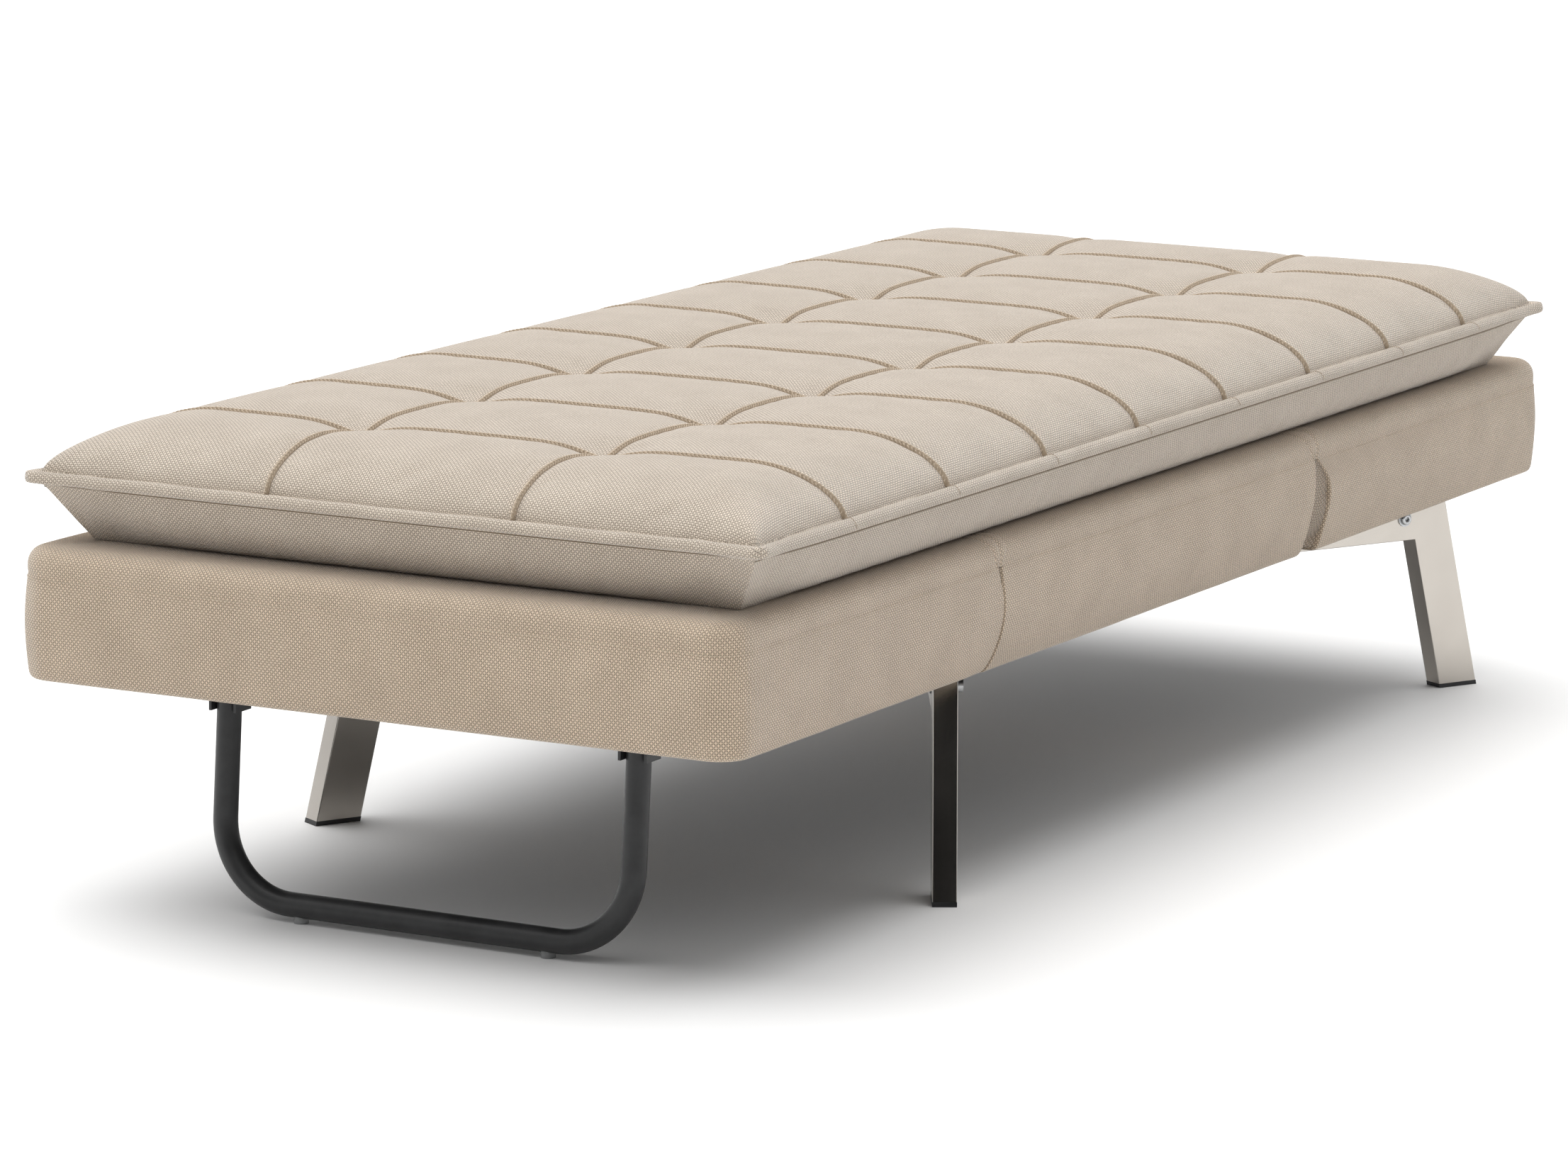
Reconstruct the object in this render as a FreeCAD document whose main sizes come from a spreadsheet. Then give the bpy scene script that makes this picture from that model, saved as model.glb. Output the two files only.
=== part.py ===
import FreeCAD, Part
import math
import os
import re
import Sketcher
from FreeCAD import Placement, Rotation, Vector

# Folding chaise longue, lying flat. Origin on the floor under the middle of the base, +Z up,
# X across the width, Y along the length with the foot end at -Y. Millimetres and degrees.
SIZES = {
    # Base of three upholstered sections, end to end
    "base_length": 1971,
    "base_width": 814,
    "base_bottom": 238,
    "base_thick": 134,
    "foot_length": 550,
    "back_length": 651,
    "corner_round": 35,
    "edge_round": 18,
    "cover_skin": 2,
    "dust_skin": 1,
    "foam_wrap": 12,
    # Fold lines between the sections
    "hinge_drop": 30,
    "back_angle": 75,
    "foot_angle": 45,
    "notch_slack": 0.5,
    "joint_gap": 3,
    "back_pleat_front": 34,
    "back_pleat_rear": 26,
    "foot_pleat_lean": 42,
    "foot_pleat_gap": 8,
    "pleat_recess": 1,
    "pleat_skin": 1.6,
    "soft_clear": 0.3,
    # Wooden frames inside the sections
    "rail_thick": 22,
    "rail_height": 70,
    "rail_clear": 4,
    "slat_thick": 9,
    "slat_width": 60,
    "slat_pitch": 135,
    "leg_board_width": 90,
    # Hinges
    "eye_radius": 20,
    "hinge_plate": 4,
    "hinge_play": 0.3,
    "mount_near": 50,
    "mount_far": 120,
    "mount_margin": 6,
    "arm_tab": 80,
    "arm_tab_top": 8,
    "pin_radius": 5,
    "pin_play": 0.05,
    "pin_head_radius": 9,
    "pin_head": 2.4,
    "detent_step": 15,
    "detent_radius": 3,
    "detent_play": 0.4,
    "spring_leaf": 1.6,
    "spring_block": 12,
    "screw_radius": 3,
    "screw_head_radius": 6,
    "screw_head": 2.5,
    "screw_bite": 18,
    "screw_play": 0.2,
    # Quilted topper with a welted edge
    "topper_width": 832,
    "topper_foot_inset": 24,
    "topper_back_inset": 42,
    "topper_rise": 126,
    "welt_height": 65,
    "welt_thick": 12,
    "welt_lip": 12,
    "contact_inset": 50,
    "column_width": 278,
    "end_dome": 85,
    "tuft_drop": 26,
    "seam_drop": 8,
    "quilt_rows": 9,
    "first_row": 185,
    # Crossing trestles
    "feet_span_x": 728,
    "front_foot_reach": 30.5,
    "leg_centre_inset": 149.5,
    "leg_lean": 13.3,
    "tube_depth": 52,
    "tube_thick": 25,
    "tube_wall": 2,
    "tube_fit": 0.3,
    "plate_thick": 6,
    "cap_thick": 5,
    "cap_plug": 20,
    "connector_arm": 70,
    "connector_drop": 55,
    "bolt_inset": 16,
    "bolt_radius": 4,
    "bolt_play": 0.2,
    "bolt_head_radius": 7,
    "bolt_head": 4.5,
    "washer_radius": 9,
    "washer_thick": 1.6,
    "nut_radius": 7.5,
    "nut_thick": 6,
    "centre_plate_width": 180,
    "centre_plate_front": 60,
    "plate_margin": 15,
    "front_plate_width": 64,
    "front_bolt_room": 30,
    "bumper_length": 60,
    "bumper_inset": 60,
    "bumper_margin": 3,
    # Support hoop under the foot end
    "hoop_width": 469,
    "hoop_tube": 25,
    "hoop_wall": 2,
    "hoop_bend": 80,
    "hoop_lean": 4.3,
    "hoop_inset": 125,
    "pivot_drop": 20,
    "hoop_head": 8,
    "glide_height": 5,
    "glide_radius": 7.5,
    "glide_span": 284,
    "bracket_sheet": 3,
    "bracket_play": 0.5,
    "bracket_ear": 28,
    "bracket_length": 76,
    "bracket_screw_span": 54,
    "bracket_screw_radius": 2.5,
    "bracket_screw_head_radius": 4.5,
    "bracket_screw_bite": 16,
}

# Places worked out from the sizes
PLACES = {
    "half_width": "base_width / 2",
    "foot_end": "-base_length / 2",
    "back_end": "base_length / 2",
    "foot_axis": "-base_length / 2 + foot_length",
    "back_axis": "base_length / 2 - back_length",
    "base_top": "base_bottom + base_thick",
    "axis_height": "base_top - hinge_drop",
    "foot_slope": "tan((foot_angle / 2 + notch_slack) * 1 deg)",
    "back_slope": "tan((back_angle / 2 + notch_slack) * 1 deg)",
    "inner_side": "half_width - cover_skin",
    "frame_side": "inner_side - foam_wrap",
    "rail_inside": "frame_side - rail_thick",
    "rail_bottom": "base_bottom + dust_skin",
    "rail_top": "rail_bottom + rail_height",
    "slat_top": "rail_top + slat_thick",
    "foot_rail_start": "foot_end + cover_skin + foam_wrap",
    "foot_rail_end": "foot_axis - foot_pleat_lean - rail_clear",
    "seat_rail_start": "foot_axis + joint_gap + rail_clear",
    "seat_rail_end": "back_axis - back_pleat_front - rail_clear",
    "back_rail_start": "back_axis + back_pleat_rear + rail_clear",
    "back_rail_end": "back_end - cover_skin - foam_wrap",
    "pocket_reach": "mount_far + mount_margin",
    "outer_plate": "frame_side + hinge_plate + hinge_play",
    "mount_low": "rail_bottom + mount_margin - axis_height",
    "mount_high": "rail_top - mount_margin - axis_height",
    "beam_top": "base_bottom - plate_thick",
    "beam_bottom": "beam_top - tube_depth",
    "leg_centre_y": "back_axis - leg_centre_inset",
    "feet_span_y": "2 * (leg_centre_y - foot_axis + front_foot_reach)",
    "leg_reach": "sqrt(feet_span_x ^ 2 + feet_span_y ^ 2) / 2",
    "half_cut": "tube_depth / cos(leg_lean * 1 deg) / 2",
    "wall_cut": "tube_wall / cos(leg_lean * 1 deg)",
    "fit_cut": "(tube_wall + tube_fit) / cos(leg_lean * 1 deg)",
    "lean_slope": "tan(leg_lean * 1 deg)",
    "bolt_place": "leg_reach - half_cut - beam_bottom * lean_slope - bolt_inset",
    "bolt_height": "beam_bottom + tube_depth / 2",
    "front_bolt_reach": "bolt_place - connector_arm - front_bolt_room",
    "front_bolt_y": "leg_centre_y - front_bolt_reach * feet_span_y / (2 * leg_reach)",
    "rear_bolt_y": "seat_rail_end - rail_thick / 2",
    "splay": "feet_span_x / feet_span_y",
    "pivot_y": "foot_end + hoop_inset",
    "pivot_height": "base_bottom - pivot_drop",
    "hoop_side": "hoop_width / 2",
    "hoop_radius": "hoop_tube / 2",
    "hoop_drop": "(pivot_height - glide_height - hoop_radius) / cos(hoop_lean * 1 deg)",
    "hoop_floor_y": "pivot_y - hoop_drop * sin(hoop_lean * 1 deg)",
    "ear_inside": "hoop_radius + bracket_play",
}

doc = FreeCAD.newDocument("folding_chaise_longue")
sheet = doc.addObject("Spreadsheet::Sheet", "Sizes")
for row, (alias, size) in enumerate(SIZES.items(), start=1):
    sheet.set(f"A{row}", alias)
    sheet.set(f"B{row}", str(size))
    sheet.setAlias(f"B{row}", alias)
doc.recompute()

nodes = {}


def cell(text):
    """Write a formula of sizes and places as a formula of sheet cells."""
    def swap(match):
        word = match.group(0)
        if word in PLACES:
            return f"({cell(PLACES[word])})"
        return f"Sizes.{word}" if word in SIZES else word
    return re.sub(r"[a-z_]+", swap, str(text))


def number(text):
    """Present value of a formula."""
    return float(sheet.evalExpression(cell(text)))


def bind(thing, **formulas):
    """Tie properties to the sheet; a double underscore in a name stands for a dot."""
    for name, text in formulas.items():
        thing.setExpression(name.replace("__", "."), cell(text))
    return thing


def node(label, thing):
    """Name a finished sub-part."""
    thing.Label = label
    nodes[label] = thing
    return thing


# Primitives and booleans


def box(name, low, high):
    """Box between two corners."""
    solid = doc.addObject("Part::Box", name)
    bind(solid, Placement__Base__x=low[0], Placement__Base__y=low[1], Placement__Base__z=low[2])
    bind(solid, Length=f"({high[0]}) - ({low[0]})", Width=f"({high[1]}) - ({low[1]})",
         Height=f"({high[2]}) - ({low[2]})")
    return solid


TURNS = {
    "x": Rotation(Vector(0, 1, 0), 90),
    "z": Rotation(),
}


def rod(name, start, axis, radius, length):
    """Round bar from a start point along an axis."""
    solid = doc.addObject("Part::Cylinder", name)
    solid.Placement = Placement(Vector(), TURNS[axis])
    bind(solid, Placement__Base__x=start[0], Placement__Base__y=start[1], Placement__Base__z=start[2],
         Radius=radius, Height=length)
    return solid


def fuse(name, *things):
    """One solid from pieces that share faces."""
    joined = doc.addObject("Part::MultiFuse", name)
    joined.Shapes = list(things)
    return joined


def cut(name, base, *tools):
    """Take tools away from a base."""
    result = doc.addObject("Part::Cut", name)
    result.Base = base
    result.Tool = tools[0] if len(tools) == 1 else fuse(f"{name}_tools", *tools)
    return result


def group(name, *things):
    """Separate solids kept together."""
    together = doc.addObject("Part::Compound", name)
    together.Links = list(things)
    return together


def mirrored(thing):
    """The same piece on the other side of the width."""
    other = doc.addObject("Part::Mirroring", f"{thing.Name}_other_side")
    other.Source = thing
    other.Normal = Vector(1, 0, 0)
    return other


def pair(name, thing):
    """A piece and its twin across the width."""
    return group(name, thing, mirrored(thing))


# Sketched bodies


def new_body(name):
    return doc.addObject("PartDesign::Body", name)


def origin_part(body, role):
    """Plane or axis of a body's own origin."""
    return [part for part in body.Origin.OriginFeatures if part.Role == role][0]


def sketch_on(body, plane, name):
    sketch = body.newObject("Sketcher::SketchObject", name)
    sketch.AttachmentSupport = [(origin_part(body, plane), "")]
    sketch.MapMode = "FlatFace"
    return sketch


def tie_point(sketch, geometry, point, place):
    """Tie a point of a sketch to the sheet, measured from the sketch's origin."""
    for kind, text in zip(("DistanceX", "DistanceY"), place):
        index = sketch.addConstraint(Sketcher.Constraint(kind, -1, 1, geometry, point, number(text)))
        sketch.setExpression(f"Constraints[{index}]", cell(text))


def outline(sketch, corners):
    """Closed outline of straight edges through tied corners."""
    spots = [Vector(number(u), number(v), 0) for u, v in corners]
    count = len(corners)
    for index, spot in enumerate(spots):
        sketch.addGeometry(Part.LineSegment(spot, spots[(index + 1) % count]), False)
    for index in range(count):
        sketch.addConstraint(Sketcher.Constraint("Coincident", index, 2, (index + 1) % count, 1))
    for index, corner in enumerate(corners):
        tie_point(sketch, index, 1, corner)


def ring(sketch, centre, radius):
    """Circle with tied centre and radius."""
    middle = Vector(number(centre[0]), number(centre[1]), 0)
    geometry = sketch.addGeometry(Part.Circle(middle, Vector(0, 0, 1), number(radius)), False)
    tie_point(sketch, geometry, 3, centre)
    index = sketch.addConstraint(Sketcher.Constraint("Radius", geometry, number(radius)))
    sketch.setExpression(f"Constraints[{index}]", cell(radius))


def grow(body, kind, sketch, length, symmetric=True, backwards=False):
    """Pad or Pocket of a sketch."""
    feature = body.newObject(f"PartDesign::{kind}", f"{sketch.Name}_{kind.lower()}")
    feature.Profile = sketch
    feature.SideType = "Symmetric" if symmetric else "One side"
    feature.Reversed = backwards
    bind(feature, Length=length)
    return feature


def round_edges(body, name, radius, chosen):
    """Round the edges of a body that a test picks."""
    doc.recompute()
    base = body.Tip
    names = [f"Edge{index}" for index, edge in enumerate(base.Shape.Edges, start=1) if chosen(edge)]
    fillet = body.newObject("PartDesign::Fillet", name)
    fillet.Base = (base, names)
    bind(fillet, Radius=radius)


# Upholstered sections


def foot_face(height):
    """Foot section's end at the first fold, below the hinge axis."""
    return (f"foot_axis - joint_gap - (foot_pleat_lean - joint_gap)"
            f" * (axis_height - ({height})) / (axis_height - base_bottom)")


def seat_front_face(height):
    """Seat's end at the first fold, below the hinge axis."""
    return (f"foot_axis + joint_gap - (foot_pleat_lean - foot_pleat_gap + joint_gap)"
            f" * (axis_height - ({height})) / (axis_height - base_bottom)")


def seat_rear_face(height):
    """Seat's end at the second fold, below the hinge axis."""
    return (f"back_axis - joint_gap - (back_pleat_front - joint_gap)"
            f" * (axis_height - ({height})) / (axis_height - base_bottom)")


def back_face(height):
    """Back section's end at the second fold, below the hinge axis."""
    return (f"back_axis + joint_gap + (back_pleat_rear - joint_gap)"
            f" * (axis_height - ({height})) / (axis_height - base_bottom)")


def notch(axis, side, slope, height):
    """Sloped end above a hinge axis that leaves room to fold up."""
    return f"{axis} {side} (joint_gap + (({height}) - axis_height) * {slope})"


def section_ends(section, skin, low, high):
    """Corners of a section's two ends in the YZ plane, each end from low to high."""
    foot_outer = [(f"foot_end + {skin}", low), (f"foot_end + {skin}", high)]
    back_outer = [(f"back_end - {skin}", low), (f"back_end - {skin}", high)]
    joints = {
        "foot": [(foot_face(low), low), ("foot_axis - joint_gap", "axis_height"),
                 (notch("foot_axis", "-", "foot_slope", high), high)],
        "seat_front": [(seat_front_face(low), low), ("foot_axis + joint_gap", "axis_height"),
                       (notch("foot_axis", "+", "foot_slope", high), high)],
        "seat_rear": [(seat_rear_face(low), low), ("back_axis - joint_gap", "axis_height"),
                      (notch("back_axis", "-", "back_slope", high), high)],
        "back": [(back_face(low), low), ("back_axis + joint_gap", "axis_height"),
                 (notch("back_axis", "+", "back_slope", high), high)],
    }
    ends = {
        "foot": (foot_outer, joints["foot"]),
        "seat": (joints["seat_front"], joints["seat_rear"]),
        "back": (joints["back"], back_outer),
    }
    return ends[section]


def section_form(name, section, skin):
    """Rounded outer form of a section, drawn in by a skin; open at the folds."""
    low = "base_bottom" if skin == "0" else "rail_bottom"
    high = f"base_top - {skin}"
    near, far = section_ends(section, skin, low, high)
    body = new_body(name)
    sketch = sketch_on(body, "YZ_Plane", f"{name}_side")
    outline(sketch, near + far[::-1])
    grow(body, "Pad", sketch, f"base_width - 2 * ({skin})")
    round_outer_corners(body, name, section, skin)
    round_top_rim(body, name, near, far, skin, high)
    return body


def round_outer_corners(body, name, section, skin):
    """Round the two upright corners at the free end of a section."""
    ends = {"foot": f"foot_end + {skin}", "back": f"back_end - {skin}"}
    if section not in ends:
        return
    place = number(ends[section])
    side = number(f"half_width - {skin}")

    def upright(edge):
        middle = edge.CenterOfMass
        return abs(abs(middle.x) - side) < 0.01 and abs(middle.y - place) < 0.01
    round_edges(body, f"{name}_corners", f"corner_round - {skin}", upright)


def round_top_rim(body, name, near, far, skin, high):
    """Round the upper edge except along the folds."""
    top = number(high)
    folds = [number(end[-1][0]) for end in (near, far) if len(end) == 3]

    def on_rim(edge):
        level = all(abs(v.Z - top) < 0.01 for v in edge.Vertexes)
        return level and all(abs(edge.CenterOfMass.y - fold) > 0.01 for fold in folds)
    round_edges(body, f"{name}_rim", f"edge_round - {skin}", on_rim)


def dust_sheet(name, section):
    """Cloth under a section's frame, inside the cover's hem."""
    near, far = section_ends(section, "cover_skin", "base_bottom", "rail_bottom")
    if section != "foot":
        near = [near[0], (near[0][0], "rail_bottom")]
    if section != "back":
        far = [far[0], (far[0][0], "rail_bottom")]
    body = new_body(name)
    sketch = sketch_on(body, "YZ_Plane", f"{name}_side")
    outline(sketch, near + far[::-1])
    grow(body, "Pad", sketch, "2 * inner_side")
    round_outer_corners(body, name, section, "cover_skin")
    return body


RAIL_SPANS = {
    "foot": ("foot_rail_start", "foot_rail_end"),
    "seat": ("seat_rail_start", "seat_rail_end"),
    "back": ("back_rail_start", "back_rail_end"),
}
SECTION_FOLDS = {"foot": ("foot",), "seat": ("foot", "back"), "back": ("back",)}


def upholstery(section):
    """Cover, foam and dust cloth of one section."""
    outer = section_form(f"{section}_outer", section, "0")
    inner = section_form(f"{section}_inner", section, "cover_skin")
    cloth = node(f"{section}_dust_cover", dust_sheet(f"{section}_cloth", section))
    node(f"{section}_cover", cut(f"{section}_shell", outer, inner, cloth))
    start, end = RAIL_SPANS[section]
    reach = "foot_pleat_lean + back_pleat_front + pocket_reach"
    cavity_start = start if section == "foot" else f"{start} - ({reach})"
    cavity_end = end if section == "back" else f"{end} + {reach}"
    hollows = [box(f"{section}_cavity", ("-frame_side", cavity_start, "base_bottom"),
                   ("frame_side", cavity_end, "slat_top"))]
    for fold in SECTION_FOLDS[section]:
        pocket = box(f"{section}_pocket_{fold}",
                     ("frame_side", f"{fold}_axis - pocket_reach", "base_bottom"),
                     ("inner_side", f"{fold}_axis + pocket_reach",
                      "axis_height + eye_radius + mount_margin"))
        hollows += [pocket, mirrored(pocket)]
    node(f"{section}_foam", cut(f"{section}_padding", inner, *hollows))


def cross_rail(name, start, height="rail_height"):
    """Rail across the frame between the side rails."""
    return box(name, ("-rail_inside", start, "rail_bottom"),
               ("rail_inside", f"{start} + rail_thick", f"rail_bottom + {height}"))


def wood_frame(section, *extra_rails):
    """Side rails, cross rails and slats of one section."""
    start, end = RAIL_SPANS[section]
    side = box(f"{section}_rail", ("rail_inside", start, "rail_bottom"), ("frame_side", end, "rail_top"))
    node(f"{section}_side_rails", pair(f"{section}_rails", side))
    rails = [cross_rail(f"{section}_rail_near", start),
             cross_rail(f"{section}_rail_far", f"{end} - rail_thick")]
    node(f"{section}_cross_rails", group(f"{section}_crossing", *rails, *extra_rails))
    length = number(f"{end} - ({start})")
    count = int((length - number("slat_width")) / number("slat_pitch")) + 1
    first = f"(({start}) + ({end}) - slat_width - {count - 1} * slat_pitch) / 2"
    slats = []
    for index in range(count):
        near = f"{first} + {index} * slat_pitch"
        slats.append(box(f"{section}_slat_{index}", ("-frame_side", near, "rail_top"),
                         ("frame_side", f"{near} + slat_width", "slat_top")))
    node(f"{section}_slats", group(f"{section}_slatting", *slats))


# Fold lines


def side_pleats(fold, lower_near, lower_far):
    """Folded cloth that closes the gap at both sides of a fold."""
    slope = f"{fold}_slope"
    near = [(f"{lower_near('base_bottom')} + soft_clear", "base_bottom"),
            (f"{fold}_axis - joint_gap + soft_clear", "axis_height"),
            (f"{notch(f'{fold}_axis', '-', slope, 'base_top')} + soft_clear", "base_top")]
    far = [(f"{lower_far('base_bottom')} - soft_clear", "base_bottom"),
           (f"{fold}_axis + joint_gap - soft_clear", "axis_height"),
           (f"{notch(f'{fold}_axis', '+', slope, 'base_top')} - soft_clear", "base_top")]
    body = new_body(f"{fold}_pleat")
    sketch = sketch_on(body, "YZ_Plane", f"{fold}_pleat_side")
    outline(sketch, near + far[::-1])
    grow(body, "Pad", sketch, "pleat_skin", symmetric=False)
    bind(body, Placement__Base__x="half_width - pleat_recess - pleat_skin")
    node(f"side_pleats_{fold}", pair(f"{fold}_pleats", body))


def crease_roll(fold):
    """Soft wedge under the topper that folds up with the cover."""
    slope = f"{fold}_slope"
    body = new_body(f"{fold}_roll")
    sketch = sketch_on(body, "YZ_Plane", f"{fold}_roll_side")
    near = [(f"{fold}_axis - joint_gap + soft_clear", "axis_height"),
            (f"{notch(f'{fold}_axis', '-', slope, 'base_top')} + soft_clear", "base_top")]
    far = [(f"{fold}_axis + joint_gap - soft_clear", "axis_height"),
           (f"{notch(f'{fold}_axis', '+', slope, 'base_top')} - soft_clear", "base_top")]
    outline(sketch, near + far[::-1])
    grow(body, "Pad", sketch, "2 * (frame_side - soft_clear)")
    node(f"crease_roll_{fold}", body)


def hinge_arm(name, fold, towards):
    """Flat hinge plate with its eye on the fold axis; towards is the sign of Y to its rail."""
    body = new_body(name)
    corners = [("mount_near", "mount_low"), ("mount_far", "mount_low"), ("mount_far", "mount_high"),
               ("arm_tab", "mount_high"), ("arm_tab", "arm_tab_top"),
               ("eye_radius / sqrt(2)", "eye_radius / sqrt(2)"),
               ("-eye_radius / sqrt(2)", "-eye_radius / sqrt(2)")]
    arm = sketch_on(body, "YZ_Plane", f"{name}_arm")
    outline(arm, [(f"{towards} * ({u})", v) for u, v in corners])
    grow(body, "Pad", arm, "hinge_plate", symmetric=False)
    eye = sketch_on(body, "YZ_Plane", f"{name}_eye")
    ring(eye, ("0", "0"), "eye_radius")
    grow(body, "Pad", eye, "hinge_plate", symmetric=False)
    bind(body, Placement__Base__y=f"{fold}_axis", Placement__Base__z="axis_height")
    return body


def screw_places(towards):
    """Hinge screws in a plate, measured from the fold axis."""
    height = "(mount_low + mount_high) / 2"
    return [(f"{towards} * (mount_near + 2 * screw_head_radius)", height),
            (f"{towards} * (mount_far - 2 * screw_head_radius)", height)]


def bore_hinge(body, name, towards):
    """Pin hole and screw holes through a hinge plate and its packing."""
    holes = sketch_on(body, "YZ_Plane", f"{name}_holes")
    ring(holes, ("0", "0"), "pin_radius + pin_play")
    for place in screw_places(towards):
        ring(holes, place, "screw_radius + screw_play")
    grow(body, "Pocket", holes, "4 * (hinge_plate + hinge_play)")


def seat_hinge(fold, towards):
    """Hinge plates on the seat's side rails."""
    name = f"{fold}_seat_plate"
    body = hinge_arm(name, fold, towards)
    bore_hinge(body, name, towards)
    bind(body, Placement__Base__x="frame_side")
    node(f"hinge_seat_plates_{fold}", pair(f"{name}s", body))


def moving_hinge(fold, towards):
    """Hinge plates on the folding section, with packing to the rail and detent notches."""
    name = f"{fold}_moving_plate"
    body = hinge_arm(name, fold, towards)
    packing = sketch_on(body, "YZ_Plane", f"{name}_packing")
    outline(packing, [(f"{towards} * mount_near", "mount_low"), (f"{towards} * mount_far", "mount_low"),
                      (f"{towards} * mount_far", "mount_high"), (f"{towards} * mount_near", "mount_high")])
    grow(body, "Pad", packing, "hinge_plate + hinge_play", symmetric=False, backwards=True)
    bore_hinge(body, name, towards)
    step = sketch_on(body, "YZ_Plane", f"{name}_notch")
    ring(step, (f"-{towards} * eye_radius", "0"), "detent_radius")
    pocket = grow(body, "Pocket", step, "4 * hinge_plate")
    doc.recompute()
    steps = body.newObject("PartDesign::PolarPattern", f"{name}_notches")
    steps.Originals = [pocket]
    steps.Axis = (origin_part(body, "X_Axis"), [""])
    steps.Reversed = towards > 0
    bind(steps, Angle=f"{fold}_angle")
    bind(steps, Occurrences=f"floor({fold}_angle / detent_step) + 1")
    body.Tip = steps
    bind(body, Placement__Base__x="outer_plate")
    node(f"hinge_plates_{fold}", pair(f"{name}s", body))


def hinge_pins(fold):
    """Headed pins through both plates of a fold's hinges."""
    length = "2 * (hinge_plate + hinge_play)"
    shaft = rod(f"{fold}_pin_shaft", ("frame_side", f"{fold}_axis", "axis_height"), "x",
                "pin_radius", length)
    head = rod(f"{fold}_pin_head", (f"frame_side + {length}", f"{fold}_axis", "axis_height"), "x",
               "pin_head_radius", "pin_head")
    node(f"hinge_pins_{fold}", pair(f"{fold}_pins", fuse(f"{fold}_pin", shaft, head)))


def detent_springs(fold, towards):
    """Leaf springs on the seat's plates whose noses sit in the notches."""
    name = f"{fold}_spring"
    body = new_body(name)
    width = "hinge_plate - hinge_play"
    leaf = sketch_on(body, "YZ_Plane", f"{name}_leaf")
    near, far = f"{towards} * eye_radius", f"{towards} * arm_tab"
    outline(leaf, [(far, "-spring_leaf / 2"), (near, "-spring_leaf / 2"),
                   (near, "spring_leaf / 2"), (far, "spring_leaf / 2")])
    grow(body, "Pad", leaf, width, symmetric=False)
    nose = sketch_on(body, "YZ_Plane", f"{name}_nose")
    ring(nose, (f"{towards} * eye_radius", "0"), "detent_radius - detent_play")
    grow(body, "Pad", nose, width, symmetric=False)
    block = sketch_on(body, "YZ_Plane", f"{name}_block")
    near = f"{towards} * (arm_tab - spring_block)"
    outline(block, [(far, "-arm_tab_top"), (near, "-arm_tab_top"),
                    (near, "arm_tab_top"), (far, "arm_tab_top")])
    grow(body, "Pad", block, width, symmetric=False)
    bind(body, Placement__Base__x="frame_side + hinge_plate", Placement__Base__y=f"{fold}_axis",
         Placement__Base__z="axis_height")
    node(f"detent_springs_{fold}", pair(f"{name}s", body))


def hinge_screws(name, fold, towards, plate_face):
    """Screws that hold one kind of hinge plate to its rails."""
    screws = []
    for index, (u, v) in enumerate(screw_places(towards)):
        place = (f"{fold}_axis + {u}", f"axis_height + {v}")
        start = "frame_side - screw_bite"
        shank = rod(f"{name}_shank_{index}", (start, *place), "x", "screw_radius",
                    f"{plate_face} - ({start})")
        head = rod(f"{name}_head_{index}", (plate_face, *place), "x", "screw_head_radius", "screw_head")
        screw = fuse(f"{name}_screw_{index}", shank, head)
        screws += [screw, mirrored(screw)]
    return screws


# Quilted topper


END_TURNS = (25, 50, 75)
STEPS_PER_ROW = 4
SHOULDER_REACH = 0.4
SHOULDER_HEIGHT = 0.8
INNER_HEIGHT = 0.75


def topper_seams():
    """Distances along the topper of its ends and the seams between its rows of puffs."""
    length = number("base_length - topper_foot_inset - topper_back_inset")
    first = number("first_row")
    rows = int(number("quilt_rows"))
    pitch = (length - first) / (rows - 1)
    return [0] + [first + pitch * row for row in range(rows)]


def topper_stations(seams):
    """Distances along the topper at which its section is drawn."""
    length = seams[-1]
    lip = number("welt_lip")
    dome = number("end_dome")
    edge = [0, lip] + [lip + dome * (1 - math.cos(math.radians(turn))) for turn in END_TURNS]
    middle = [near + (far - near) * step / STEPS_PER_ROW
              for near, far in zip(seams, seams[1:]) for step in range(STEPS_PER_ROW)]
    clear = edge[-1] + lip
    middle = [place for place in middle if clear < place < length - clear]
    return edge + middle + [length - place for place in reversed(edge)]


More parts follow.
